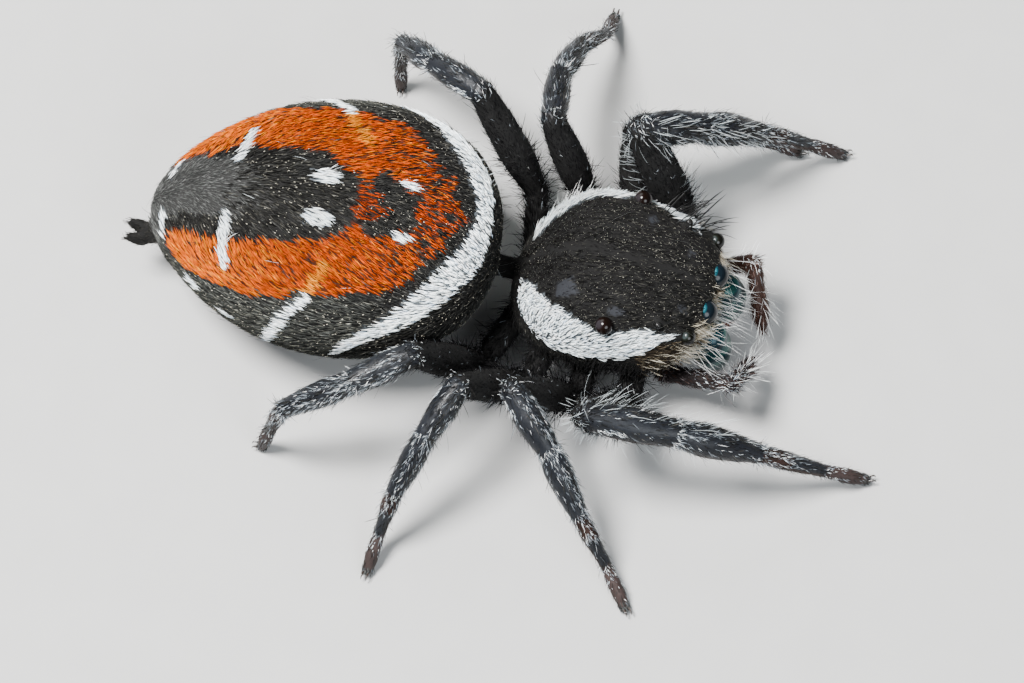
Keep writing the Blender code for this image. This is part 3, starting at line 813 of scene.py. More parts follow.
def mottleGroup():
    # uneven tone and fine height, for skin, hair and horn alike
    group = bpy.data.node_groups.new("fineMottle", "ShaderNodeTree")
    face = group.interface
    face.new_socket("Colour", in_out="INPUT", socket_type="NodeSocketColor")
    for label, value in (("Grain per m", 9000.0), ("Depth of tone", 0.35)):
        socket = face.new_socket(label, in_out="INPUT", socket_type="NodeSocketFloat")
        socket.default_value = value
    face.new_socket("Colour", in_out="OUTPUT", socket_type="NodeSocketColor")
    face.new_socket("Height", in_out="OUTPUT", socket_type="NodeSocketFloat")
    nodes = group.nodes
    into, out = nodes.new("NodeGroupInput"), nodes.new("NodeGroupOutput")
    where = put(nodes, "TexCoord")
    grain = put(nodes, "TexNoise", {"Detail": 4})
    broad = put(nodes, "TexNoise", {"Scale": 1400, "Detail": 3})
    both = put(nodes, "Math", operation="MULTIPLY")
    spread = put(nodes, "MapRange", {"From Min": 0.12, "From Max": 0.40, "To Min": -1.0, "To Max": 1.0})
    amount = put(nodes, "Math", {2: 1.0}, operation="MULTIPLY_ADD")
    toned = put(nodes, "VectorMath", operation="SCALE")
    join(
        group.links,
        (where, "Object", grain, "Vector"),
        (where, "Object", broad, "Vector"),
        (into, "Grain per m", grain, "Scale"),
        (grain, "Fac", both, 0),
        (broad, "Fac", both, 1),
        (both, 0, spread, "Value"),
        (spread, "Result", amount, 0),
        (into, "Depth of tone", amount, 1),
        (into, "Colour", toned, 0),
        (amount, 0, toned, "Scale"),
        (toned, 0, out, "Colour"),
        (grain, "Fac", out, "Height"),
    )
    return group


# polish is what a full alpha adds to the roughness
looks = {
    "skin": dict(
        grain=26000, tone=0.30, bump=0.7, bumpMm=0.012, rough=(0.78, 0.95), polish=-0.50, specular=0.15,
    ),
    "hair": dict(
        grain=14000, tone=0.18, bump=0.15, bumpMm=0.004, rough=(0.45, 0.65), polish=0.0, specular=0.0,
    ),
    "bristle": dict(
        grain=14000, tone=0.15, bump=0.1, bumpMm=0.003, rough=(0.30, 0.45), polish=0.0, specular=0.15,
    ),
    "jaw": dict(grain=22000, tone=0.35, bump=0.5, bumpMm=0.008),
    "horn": dict(grain=18000, tone=0.40, bump=0.2, bumpMm=0.004),
}
jawStops = ((0.30, (0.001, 0.006, 0.011)), (0.50, (0.002, 0.024, 0.030)), (0.72, (0.010, 0.060, 0.045)))
lensShine = {"Roughness": 0.14, "Specular IOR Level": 0.14, "Coat Weight": 0.06, "Coat Roughness": 0.03}
jawShine = {
    "Metallic": 0.5, "Roughness": 0.36, "Specular IOR Level": 0.2, "Coat Weight": 0.1,
    "Coat Roughness": 0.15,
}
hornShine = {"Roughness": 0.25, "Coat Weight": 0.5}
hornTints = {"fangHorn": (0.05, 0.012, 0.006), "clawHorn": (0.018, 0.012, 0.010)}


def dress(made, mottle, source, look):
    # mottled base colour and fine relief from a node's output, for any material here
    _, nodes, links, shader = made
    values = {"Grain per m": look["grain"], "Depth of tone": look["tone"]}
    patchy = put(nodes, "Group", values, node_tree=mottle)
    bump = put(nodes, "Bump", {"Strength": look["bump"], "Distance": look["bumpMm"] * mm})
    join(
        links,
        (*source, patchy, "Colour"),
        (patchy, "Colour", shader, "Base Color"),
        (patchy, "Height", bump, "Height"),
        (bump, "Normal", shader, "Normal"),
    )
    return patchy


def coatMaterial(name, look, mottle):
    # colour from the mesh; its alpha tells how polished the bare skin is
    made = newMaterial(name)
    material, nodes, links, shader = made
    tint = put(nodes, "Attribute", attribute_name="coatColour")
    patchy = dress(made, mottle, (tint, "Color"), look)
    rough = put(nodes, "MapRange", {"To Min": look["rough"][0], "To Max": look["rough"][1]})
    polished = put(nodes, "Math", {1: look["polish"]}, operation="MULTIPLY_ADD")
    join(
        links,
        (patchy, "Height", rough, "Value"),
        (tint, "Alpha", polished, 0),
        (rough, "Result", polished, 2),
        (polished, 0, shader, "Roughness"),
    )
    setInputs(shader, {"Specular IOR Level": look["specular"]})
    return material


def eyeMaterial(name, look):
    # a dark lens with painted reflection: a coloured crescent on its upper rim, where the normal faces the
    # reflection side
    material, nodes, links, shader = newMaterial(name)
    where = put(nodes, "NewGeometry")
    swirl = put(nodes, "TexNoise", {"Scale": 2600})
    facing = put(nodes, "VectorMath", {1: look["reflectionSide"]}, operation="DOT_PRODUCT")
    mixed = put(nodes, "Math", {1: 0.12}, operation="MULTIPLY_ADD")
    paintedReflection = rampNode(nodes, ((0.0, look["dark"]), *look["paintedReflection"], (1.0, look["paintedReflection"][-1][1])))
    bump = put(nodes, "Bump", {"Strength": 0.03, "Distance": 0.002 * mm})
    join(
        links,
        (where, "Position", swirl, "Vector"),
        (where, "Normal", facing, 0),
        (swirl, "Fac", mixed, 0),
        (facing, "Value", mixed, 2),
        (mixed, 0, paintedReflection, "Fac"),
        (paintedReflection, "Color", shader, "Base Color"),
        (swirl, "Fac", bump, "Height"),
        (bump, "Normal", shader, "Normal"),
    )
    setInputs(shader, lensShine)
    return material


def jawMaterial(mottle):
    # green to blue sheen with fine cross lines
    made = newMaterial("jawSheen")
    material, nodes, links, shader = made
    where = put(nodes, "TexCoord")
    stretch = put(nodes, "Mapping", {"Scale": (0.35, 0.35, 1.6)})
    lines = put(nodes, "TexNoise", {"Scale": 5200, "Detail": 5})
    sheen = rampNode(nodes, jawStops)
    join(
        links,
        (where, "Object", stretch, "Vector"),
        (stretch, "Vector", lines, "Vector"),
        (lines, "Fac", sheen, "Fac"),
    )
    dress(made, mottle, (sheen, "Color"), looks["jaw"])
    setInputs(shader, jawShine)
    return material


def hornMaterial(name, mottle):
    made = newMaterial(name)
    tone = put(made[1], "RGB")
    tone.outputs[0].default_value = (*hornTints[name], 1)
    dress(made, mottle, (tone, 0), looks["horn"])
    setInputs(made[3], hornShine)
    return made[0]


# the skin
skinLook = dict(voxel=0.065, smooths=4, wrinkle=0.006, wrinkleEvery=0.35)
skinGrids = dict(body=(90, 96), bodyMarks=(150, 160), other=(40, 28))  # steps along and around


def gridFor(surface, body):
    return skinGrids[body if surface["kind"] in ("abdomen", "shield", "sternum") else "other"]


def buildSkin(surfaces):
    rough = meshFrom("skinRough", *joinedArrays(surfaces, lambda surface: gridFor(surface, "body")))
    remesh = rough.modifiers.new("union", "REMESH")
    remesh.mode = "VOXEL"
    remesh.voxel_size = skinLook["voxel"]
    remesh.use_smooth_shade = True
    relax = rough.modifiers.new("relax", "SMOOTH")
    relax.factor = 0.5
    relax.iterations = skinLook["smooths"]
    graph = bpy.context.evaluated_depsgraph_get()
    mesh = bpy.data.meshes.new_from_object(rough.evaluated_get(graph))
    bpy.data.objects.remove(rough)
    skin = addObject("skin", mesh)
    mesh.name = "skin"
    count = len(mesh.vertices)
    spots = np.zeros(count * 3, np.float32)
    mesh.vertices.foreach_get("co", spots)
    spots = spots.reshape(-1, 3).astype(float)
    tree = BVHTree.FromPolygons([tuple(p) for p in spots], [tuple(p.vertices) for p in mesh.polygons])
    print("skin:", count, "points", len(mesh.polygons), "faces")
    # each point takes the marking of the nearest surface
    where, marks = [], []
    for surface in surfaces:
        p, _, u, v = gridArrays(surface, *gridFor(surface, "bodyMarks"))
        where.append(p[: len(u)])
        marks.append(kindsOn(surface, u, v, where[-1]))
    where, marks = np.concatenate(where), np.concatenate(marks)
    near = KDTree(len(where))
    for k, p in enumerate(where):
        near.insert(p, k)
    near.balance()
    palette = np.array([(*tints[name][4], tints[name][5]) for name in kinds])
    found = np.array([near.find(p)[1] for p in spots])
    setColours(mesh, palette[marks[found]])
    normals = np.zeros(count * 3, np.float32)
    mesh.vertices.foreach_get("normal", normals)
    bumps = waves(spots, skinLook["wrinkleEvery"], 31)[:, None] * skinLook["wrinkle"]
    moved = placed(spots + normals.reshape(-1, 3) * bumps)
    mesh.vertices.foreach_set("co", moved.astype(np.float32).ravel())
    mesh.update()
    mesh.shade_smooth()
    return skin, tree


# the coat
wholeCell = (0, 0, 1, 1)  # a piece's share of the unwrap: x, y, width, height
# strands are darker at the root: painted shade deep in the coat
rootToTip = (0.55, 1.08)  # brightness of a strand from root to tip
floorGap = 0.004


def strandArrays(root, along, normal, length, width, lift, bend, colour, uvRoot, rings, shade):
    # thin closed blades with a ridge, each rings of three points and a tip
    n = len(root)
    side = unit(np.cross(along, normal))
    points, tones, patches = [], [], []
    for k, s in enumerate(np.linspace(0, 1, rings + 1)):
        rise = np.sin(lift) * s - bend * s**2
        centre = root + along * (length * np.cos(lift) * s)[:, None] + normal * (length * rise)[:, None]
        centre = centre - normal * (0.012 * (1 - s))
        # tone darkens towards the root: painted shade among the strands
        tone = shade[0] + (shade[1] - shade[0]) * s**0.6
        if k == rings:
            points.append(centre[:, None, :])
            patches.append(np.broadcast_to(np.array((0.0, 1.0)), (n, 1, 2)))
            tones.append(np.full((n, 1), tone))
            continue
        half = width * (0.70 if k == 0 else 1.0 - 0.35 * max(s - 0.4, 0)) * 0.5
        a, b = centre - side * half[:, None], centre + side * half[:, None]
        ridge = centre + normal * (half * 0.84)[:, None]
        points.append(np.stack([a, ridge, b], 1))
        patches.append(np.broadcast_to(np.array(((-0.5, s), (0.0, s), (0.5, s))), (n, 3, 2)))
        tones.append(np.full((n, 3), tone))
    points, tones, patches = (np.concatenate(rows, 1) for rows in (points, tones, patches))
    faces = [(0, 2, 1)]
    for k in range(rings - 1):
        a, b = 3 * k, 3 * (k + 1)
        for i, j in ((0, 1), (1, 2), (2, 0)):
            faces += [(a + i, a + j, b + j), (a + i, b + j, b + i)]
    last, tip = 3 * (rings - 1), 3 * rings
    faces += [(last, last + 1, tip), (last + 1, last + 2, tip), (last + 2, last, tip)]
    triangles = (np.array(faces)[None] + (np.arange(n) * points.shape[1])[:, None, None]).reshape(-1, 3)
    colours = colour[:, None, :] * tones[..., None]
    uv = uvRoot[:, None, :] + (patches - np.array((0.0, 0.5))) * 0.003
    return points.reshape(-1, 3), triangles, colours.reshape(-1, 3), uv.reshape(-1, 2)


def strandColours(kind, rng):
    base, second, share, spread = (np.array([tints[name][k] for name in kinds])[kind] for k in range(4))
    mix = np.where(rng.random(len(kind)) < share, rng.random(len(kind)), 0.0)[:, None]
    tint = base * (1 - mix) + second * mix
    return np.clip(tint * np.exp(rng.normal(0, 1, len(kind)) * spread)[:, None], 0.002, 0.95)


def byKind(table, kind, other):
    return np.array([table.get(name, other) for name in kinds])[kind]


def clearOfEyes(place, margin=0.02):
    keep = np.ones(len(place), bool)
    for _, _, _, centre, radius in eachEye():
        keep &= lengthOf(place - centre) > radius + margin
    return keep


def chosen(roots, keep):
    return {key: value[keep] for key, value in roots.items()}


def flattened(aim, normal):
    # a direction laid down on the surface
    return unit(aim - normal * np.sum(aim * normal, -1, keepdims=True))


def cellOf(k, columns, bottom, height):
    # cell k of rows on the unwrap: x, y, width, height
    return ((k % columns) / columns, bottom + (k // columns) * height, 1 / columns, height)


def ofKind(flesh, *wanted):
    return enumerate(s for s in flesh.values() if s["kind"] in wanted)


class Coat:
    # gathers strands until they become one piece; window is the part of the surface it covers
    def __init__(self, name, tree, rng, window=(0.0, 1.0)):
        self.name, self.tree, self.rng, self.window = name, tree, rng, window
        self.parts, self.count = [], 0

    def roots(self, surface, perMm2, test=None, reach=0.12, window=None):
        # strand roots that the skin really carries, moved onto it; turn is the angle from the top
        u, v = scatter(surface, perMm2, self.rng, window or self.window)
        place, along, around, normal = frameAt(surface, u, v)
        roots = dict(u=u, v=v, place=place, along=along, around=around, normal=normal)
        roots["turn"] = surfaceTurn(v) * -surface.get("side", right)
        low, high = surface["span"]
        roots["t"] = (u - low) / (high - low)
        if test is not None:
            roots = chosen(roots, test(roots))
        spots, keep = roots["place"].copy(), clearOfEyes(roots["place"])
        for k in np.flatnonzero(keep):
            near, facing, _, _ = self.tree.find_nearest(Vector(spots[k]), reach)
            keep[k] = near is not None and facing.dot(Vector(roots["normal"][k])) > 0.3
            if keep[k]:
                spots[k] = near
        roots["place"] = spots
        return chosen(roots, keep)

    def grow(self, roots, lie, length, width, lift, bend, colour, cell=wholeCell, rings=2, shade=rootToTip):
        n = len(roots["u"])
        if not n:
            return
        length, width, lift, bend = (np.zeros(n) + value for value in (length, width, lift, bend))
        # the root's place on the unwrap: around it across, along it up, inside its own cell
        low, high = self.window
        across, up = (roots["v"] + 0.25) % 1.0, np.clip((roots["t"] - low) / (high - low), 0, 1)
        x0, y0, w, h = cell
        edge = 0.004
        uv = np.stack([x0 + edge + across * (w - 2 * edge), y0 + edge + up * (h - 2 * edge)], -1)
        strand = (length, width, lift, bend, colour, uv, rings, shade)
        arrays = strandArrays(roots["place"], lie, roots["normal"], *strand)
        self.parts.append((arrays[0], arrays[1] + self.count, *arrays[2:]))
        self.count += len(arrays[0])

    def build(self, material):
        points, triangles, colours, uv = (np.concatenate(c) for c in zip(*self.parts))
        points[:, 2] = np.maximum(points[:, 2], floorGap)  # no hair goes through the floor
        thing = meshFrom(self.name, placed(points), triangles, colours, uv)
        thing.data.materials.append(material)
        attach(thing, "root")
        print(self.name, len(triangles), "triangles")


def growSpecks(coat, surface, lieOf, look, test, reach=0.12):
    # small bright scales on the dark parts: pale scales, the brightest of them painted glints; wide is their
    # width over their length
    roots = coat.roots(surface, look["perMm2"], test, reach)
    n, rng = len(roots["u"]), coat.rng
    bright = np.array(look["tint"]) * rng.uniform(*look["light"], n)[:, None] ** look["contrast"]
    roots["place"] = roots["place"] + roots["normal"] * rng.uniform(*look["rise"], n)[:, None]
    size = rng.uniform(*look["size"], n)
    coat.grow(roots, lieOf(roots, rng), size, size * look["wide"], 0.15, 0.05, bright)


abdomenCoat = dict(
    perMm2=400, lift=0.24, liftSpread=0.07, bend=0.10, lengthSpread=(0.7, 1.25), widthSpread=(0.75, 1.2),
    slide=0.20,  # how far from its root a scale takes its colour
    length={"orange": 0.27, "white": 0.25, "black": 0.22, "velvet": 0.15, "ember": 0.22, "gold": 0.27},
    width={"orange": 0.031, "white": 0.031, "black": 0.025, "velvet": 0.020, "ember": 0.027, "gold": 0.029},
    darkShare={"white": 0.07, "ember": 0.42}, orangeDark=0.11, orangeFrontScalesAndShade=0.34,
    flankGreyAndSheen=(0.95, 1.05, 1.0), rearPaintedLight=(0.60, 1.05, 0.4),
    pieces=(("front", 0.0, 0.40), ("middle", 0.40, 0.60), ("rear", 0.60, 1.0)),
)
abdomenSpecks = dict(
    perMm2=60, tint=(0.58, 0.55, 0.46), light=(0.12, 1.1), contrast=1.6, rise=(0.03, 0.07),
    size=(0.020, 0.042), wide=0.45,
)


def abdomenLie(roots, rng):
    # back along the body and a little up towards the ridge, more so beside the rear stripe
    reach = abdomenAlong(np.pi * roots["u"])
    away, around = np.abs(roots["turn"]), roots["around"]
    towards = 12 + 20 * np.exp(-((away - 38) / 20) ** 2) * (1 + 1.1 * smoothStep(reach, 0.3, 2.0))
    towards = (towards * (1 - smoothStep(away, 70, 110)) + 4) * smoothStep(away, 0, 8)
    towards = np.radians(towards + rng.normal(0, 9, len(away)))[:, None]
    up = around * np.sign(around[:, 2:])
    return unit(roots["along"] * np.cos(towards) + up * np.sin(towards))


def growAbdomen(flesh, tree, material):
    surface, rng, look = flesh["abdomen"], np.random.default_rng(41), abdomenCoat

    def onDark(r):
        return np.isin(kindsOn(surface, r["u"], r["v"], r["place"]), (kindOf["black"], kindOf["ember"]))

    for label, *window in look["pieces"]:
        coat = Coat("coat_abdomen_" + label, tree, rng, window)
        roots = coat.roots(surface, look["perMm2"])
        n = len(roots["u"])
        lie = abdomenLie(roots, rng)
        kind = kindsOn(surface, *slid(surface, roots["u"], roots["v"], lie, look["slide"]))
        along = abdomenAlong(np.pi * roots["u"])
        # some dark scales show between the bright ones, more in the dark red and towards the front, where
        # the extra dark scales are partly painted shade
        shade = byKind(look["darkShare"], kind, 0.0)
        orange, velvet = kind == kindOf["orange"], kind == kindOf["velvet"]
        shade[orange] = look["orangeDark"] + look["orangeFrontScalesAndShade"] * smoothStep(-along[orange], 0.9, 2.4)
        shade[velvet] = 1 - smoothStep(along[velvet], 0.9, 2.2)
        under = np.where(kind == kindOf["white"], kindOf["velvet"], kindOf["black"])
        kind = np.where(rng.random(n) < shade, under, kind)
        colour = strandColours(kind, rng)
        # black scales grow lighter on the flanks: grey scales with painted sheen
        flank = smoothStep(np.abs(roots["turn"]), 40, 60) * smoothStep(along, -2.2, -0.4)
        colour *= 1 + (flank * (kind == kindOf["black"]))[:, None] * np.array(look["flankGreyAndSheen"])
        # orange and gold scales brighten towards the rear: painted light, as if lit from behind
        lit = np.isin(kind, (kindOf["orange"], kindOf["gold"]))
        colour[lit] *= 1 + smoothStep(along[lit], 0.2, 2.2)[:, None] * np.array(look["rearPaintedLight"])
        length = byKind(look["length"], kind, 0.2) * rng.uniform(*look["lengthSpread"], n)
        width = byKind(look["width"], kind, 0.03) * rng.uniform(*look["widthSpread"], n)
        lift = look["lift"] + rng.normal(0, look["liftSpread"], n)
        coat.grow(roots, lie, length, width, lift, look["bend"], np.clip(colour, 0, 0.95))
        growSpecks(coat, surface, abdomenLie, abdomenSpecks, onDark)
        coat.build(material)


shieldCoat = dict(
    perMm2=620, reach=0.16, slide=0.19, bend=0.10, liftSpread=0.09, lengthSpread=(0.65, 1.3),
    widthSpread=(0.75, 1.2),
    looks={  # share of the roots that carry a scale, length, width, lift
        "crown": (0.86, 0.17, 0.0105, 0.22), "black": (0.66, 0.16, 0.015, 0.28),
        "slate": (0.14, 0.10, 0.016, 0.20), "white": (0.80, 0.27, 0.024, 0.26),
        "brown": (0.80, 0.25, 0.0105, 0.36), "cream": (0.30, 0.30, 0.010, 0.42),
        "grey": (0.60, 0.14, 0.016, 0.30),
    },
    # the left band's tone below is painted shade, the rear darkening painted shadow
    darkInWhite=0.12, leftBandPaintedShade=0.78, rearPaintedShadow=0.7,
    pieces=(("front", 0.0, 0.46), ("rear", 0.46, 1.0)),
)
shieldSpecks = dict(
    perMm2=230, tint=(0.80, 0.77, 0.66), light=(0.1, 1.0), contrast=3, rise=(0.02, 0.04),
    size=(0.008, 0.014), wide=0.9,
)


def shieldLie(roots, rng):
    # forwards, and up towards the crown on the flanks
    away, around = np.abs(roots["turn"]), roots["around"]
    towards = 8 + 40 * np.exp(-((away - 68) / 28) ** 2) * smoothStep(roots["u"], 0.22, 0.5)
    loose = np.where(away < 45, 19, 11)
    towards = np.radians(towards * smoothStep(away, 0, 12) + rng.normal(0, 1, len(away)) * loose)[:, None]
    up = around * np.sign(around[:, 2:])
    return unit(-roots["along"] * np.cos(towards) + up * np.sin(towards))


def growShield(flesh, tree, material):
    surface, rng, look = flesh["shield"], np.random.default_rng(43), shieldCoat

    def onCrown(r):
        return (kindsOn(surface, r["u"], r["v"], r["place"]) == kindOf["crown"]) & (r["normal"][:, 2] > 0.2)

    for label, *window in look["pieces"]:
        coat = Coat("coat_shield_" + label, tree, rng, window)
        roots = coat.roots(surface, look["perMm2"], reach=look["reach"])
        lie = shieldLie(roots, rng)
        kind = kindsOn(surface, *slid(surface, roots["u"], roots["v"], lie, look["slide"]))
        kind[(np.abs(roots["turn"]) > 87) & (kind == kindOf["white"])] = kindOf["black"]
        keep = rng.random(len(kind)) < byKind(look["looks"], kind, (0, 0, 0, 0))[:, 0]
        roots, lie, kind = chosen(roots, keep), lie[keep], kind[keep]
        n = len(kind)
        kind[(kind == kindOf["white"]) & (rng.random(n) < look["darkInWhite"])] = kindOf["black"]
        _, length, width, lift = byKind(look["looks"], kind, (0, 0, 0, 0)).T
        length = length * rng.uniform(*look["lengthSpread"], n)
        width = width * rng.uniform(*look["widthSpread"], n)
        lift = lift + rng.normal(0, look["liftSpread"], n)
        colour = strandColours(kind, rng)
        # white scales on the left band are darker: painted shade on the side away from the light
        colour[(kind == kindOf["white"]) & (roots["turn"] > 0)] *= look["leftBandPaintedShade"]
        # the crown darkens towards the rear: painted shadow where the abdomen shades the shield
        shadowedRear = smoothStep(roots["place"][:, 1], 0.5, 1.7) * (kind == kindOf["crown"])
        colour *= (1 - look["rearPaintedShadow"] * shadowedRear)[:, None]
        coat.grow(roots, lie, length, width, lift, look["bend"], colour)
        growSpecks(coat, surface, shieldLie, shieldSpecks, onCrown, look["reach"])
        coat.build(material)


legCoat = dict(  # per mm2, length, width, lift, bend, rings
    scale=(520, 0.140, 0.0110, 0.20, 0.10, 2),
    hair=(120, 0.25, 0.011, 0.46, 0.22, 2),
    fine=(22, 0.28, 0.007, 0.80, 0.25, 3),
    bristle=(1.6, 0.52, 0.015, 0.95, 0.22, 3),
)
upperLeg = ("coxa", "trochanter", "femur")
legSpread = dict(swing=15, length=(0.6, 1.3), width=(0.7, 1.2), lift=0.1, onFoot=0.7)
streak = dict(wide=34, perLength=2.0, contrast=1.1, most=2.2)  # wide in degrees round the limb
brush = dict(perMm2=130, length=0.42, width=0.014, lift=0.85, bend=0.25, spread=0.5)
tuft = dict(perMm2=900, start=0.80, length=0.13, width=0.016, lift=0.25, bend=0.1, velvetShare=0.8)
limbReach = 0.09  # how far the skin may lie from a limb's surface


def growLimb(coat, surface, cell, darkHair, shares=limbShares):
    rng, part, look = coat.rng, surface["part"], legSpread
    for job, (perMm2, reach, wide, lift, bend, rings) in legCoat.items():
        if part == "tarsus" and job == "bristle":
            continue
        roots = coat.roots(surface, perMm2, reach=limbReach)
        t, turn = roots["t"], roots["turn"]
        white, silver, dark = shares(surface, t, turn)
        # the pale scales stand in streaks along the limb
        lanes = np.stack([turn / streak["wide"], t * streak["perLength"], t * 0], -1)
        streaks = np.clip(1 + streak["contrast"] * waves(lanes, 1.0, 51), 0, streak["most"])
        white, silver = np.clip(white * streaks, 0, 1), np.clip(silver * streaks, 0, 1)
        draw = rng.random(len(white))
        kind = np.full(len(white), kindOf[darkHair])
        if job == "scale":
            kind[draw < white + silver] = kindOf["silver"]
            kind[draw < white] = kindOf["white"]
            keep = draw < white + silver + dark * (1 - white - silver) * 0.75
        elif job == "fine":
            kind[:] = kindOf["silver"]
            keep = draw < 0.25 + 0.6 * (white + silver)
        else:
            kind[draw < 0.3 * (white + silver)] = kindOf["silver"]
            keep = draw < 0.25 + 0.75 * dark
        roots, kind = chosen(roots, keep), kind[keep]
        n = len(kind)
        swing = np.radians(rng.normal(0, look["swing"], n))[:, None]
        lie = unit(roots["along"] * np.cos(swing) + roots["around"] * np.sin(swing))
        length = reach * rng.uniform(*look["length"], n) * (look["onFoot"] if part == "tarsus" else 1)
        colour = strandColours(kind, rng)
        width, rise = wide * rng.uniform(*look["width"], n), lift + rng.normal(0, look["lift"], n)
        coat.grow(roots, lie, length, width, rise, bend, colour, cell, rings)
    if part in upperLeg:
        # the black brush where the leg leaves the body: real hair that also fills the gaps with dark,
        # painted shade under the body
        nearBody = lambda r: (r["t"] < 0.4) | (part != "femur")
        roots = coat.roots(surface, brush["perMm2"], nearBody, limbReach)
        n = len(roots["u"])
        lie = unit(roots["along"] + rng.normal(0, brush["spread"], (n, 3)))
        colour = strandColours(np.full(n, kindOf["slate"]), rng)
        length = brush["length"] * rng.uniform(0.6, 1.25, n)
        coat.grow(roots, lie, length, brush["width"], brush["lift"], brush["bend"], colour, cell)


def growFootTuft(coat, surface, cell):
    # the dark pad of hair under and round the claws
    rng = coat.rng
    offFloor = lambda r: r["place"][:, 2] > 0.03
    roots = coat.roots(surface, tuft["perMm2"], offFloor, limbReach, (tuft["start"], 1.0))
    n = len(roots["u"])
    ahead = unit(roots["along"] * 0.8 + np.array((0, 0, -0.25)) + rng.normal(0, 0.15, (n, 3)))
    lie = flattened(ahead, roots["normal"])
    kind = np.where(rng.random(n) < tuft["velvetShare"], kindOf["velvet"], kindOf["grey"])
    nearFloor = np.clip(roots["place"][:, 2] - 0.01, 0.02, 1) * 2
    length = np.minimum(tuft["length"] * rng.uniform(0.7, 1.3, n), nearFloor)
    coat.grow(roots, lie, length, tuft["width"], tuft["lift"], tuft["bend"], strandColours(kind, rng), cell)


def growLegs(flesh, tree, material):
    rng = np.random.default_rng(47)
    for side, pairs in (("right", "12"), ("right", "34"), ("left", "12"), ("left", "34")):
        coat = Coat(f"coat_legs_{side}_{pairs}", tree, rng)
        for row, pair in enumerate(pairs):
            lengths = [s for s in flesh.values() if s.get("leg") == f"{side}_{pair}"]
            for column, surface in enumerate(lengths):
                cell = (row * 0.5, column / len(lengths), 0.5, 1 / len(lengths))
                growLimb(coat, surface, cell, "slate" if surface["part"] in upperLeg else "black")
                if surface["part"] == "tarsus":
                    growFootTuft(coat, surface, cell)
        coat.build(material)


hairTints = dict(
    snow=(0.86, 0.88, 0.88), cream=(0.66, 0.61, 0.50), tan=(0.26, 0.20, 0.13), soot=(0.024, 0.023, 0.021),
    jet=(0.008, 0.008, 0.008), umber=(0.060, 0.032, 0.024), mist=(0.55, 0.60, 0.62),
)
hairSpread = dict(swing=0.22, light=(0.6, 1.1), length=(0.55, 1.25), width=(0.75, 1.2), lift=0.15)


def growHairs(
    coat, surface, perMm2, length, width, lift, bend, tint, toward=None, test=None, cell=wholeCell,
):
    # finer hair, along the surface or towards a direction
    rng, look = coat.rng, hairSpread
    roots = coat.roots(surface, perMm2, test)
    n = len(roots["u"])
    along, around = roots["along"], roots["around"]
    if toward is not None:
        along = flattened(np.broadcast_to(np.array(toward, float), (n, 3)), roots["normal"])
        around = np.cross(roots["normal"], along)
    swing = rng.normal(0, look["swing"], n)[:, None]
    lie = unit(along * np.cos(swing) + around * np.sin(swing))
    colour = np.clip(np.array(hairTints[tint]) * rng.uniform(*look["light"], n)[:, None], 0, 0.95)
    length, width = length * rng.uniform(*look["length"], n), width * rng.uniform(*look["width"], n)
    lift = lift + rng.normal(0, look["lift"], n)
    # a slightly darker root: painted shade among the hairs
    coat.grow(roots, lie, length, width, lift, bend, colour, cell, 4, (0.8, 1.0))


def growLocks(coat, flesh, locks):
    # hair in given places: surface, middle, spread, per mm2, length, width, lift, bend, tint, towards
    for name, middle, spread, *look in locks:
        near = lambda r: lengthOf(r["place"] - np.array(middle)) < spread
        growHairs(coat, flesh[name], *look, test=near)


palpHair = dict(  # per mm2, length, width, lift, bend, tint
    base=((40, 0.20, 0.012, 0.5, 0.2, "umber"),),
    thigh=((70, 0.18, 0.009, 0.4, 0.2, "umber"), (10, 0.42, 0.0065, 0.95, 0.25, "snow")),
    shin=((60, 0.20, 0.009, 0.5, 0.2, "umber"), (38, 0.46, 0.0065, 0.90, 0.25, "snow")),
    tip=((60, 0.24, 0.009, 0.5, 0.2, "umber"), (95, 0.55, 0.0065, 0.75, 0.16, "snow")),
)

palpLocks = (  # the pale patch at the left elbow, then the tuft that stands above it
    ("palp_left_thigh", (1.36, -2.40, 1.98), 0.17, 260, 0.12, 0.014, 0.20, 0.10, "mist", (-0.5, -1, 0)),
    ("palp_left_thigh", (1.45, -2.20, 1.90), 0.26, 60, 0.42, 0.008, 0.80, 0.15, "snow", (1, -0.3, 0.4)),
)


def palpShares(surface, t, turn):
    part = surface["part"]
    if surface["side"] == left:
        pale = (0.10 if part == "shin" else 0.0) * (1 - smoothStep(t, 0.2, 0.5))
        return pale, pale, 0.55 + 0 * t
    pale = {"base": 0.0, "thigh": 0.24, "shin": 0.30, "tip": 0.04}[part] + 0 * t
    pale = pale * np.where(part == "thigh", smoothStep(t, 0.30, 0.60), 1)
    return pale * 0.5, pale * 0.8, 0.8 + 0 * t


def growPalps(flesh, tree, material):
    coat = Coat("coat_palps", tree, np.random.default_rng(53))
    for k, surface in ofKind(flesh, "palp"):
        onLeft, cell = surface["side"] == left, cellOf(k, 4, 0.0, 0.5)
        growLimb(coat, surface, cell, "red" if onLeft else "mauve", palpShares)
        for perMm2, *look in palpHair[surface["part"]]:
            fewer = 0.5 if onLeft and look[-1] == "snow" else 1
            growHairs(coat, surface, perMm2 * fewer, *look, cell=cell)
    growLocks(coat, flesh, palpLocks)
    coat.build(material)


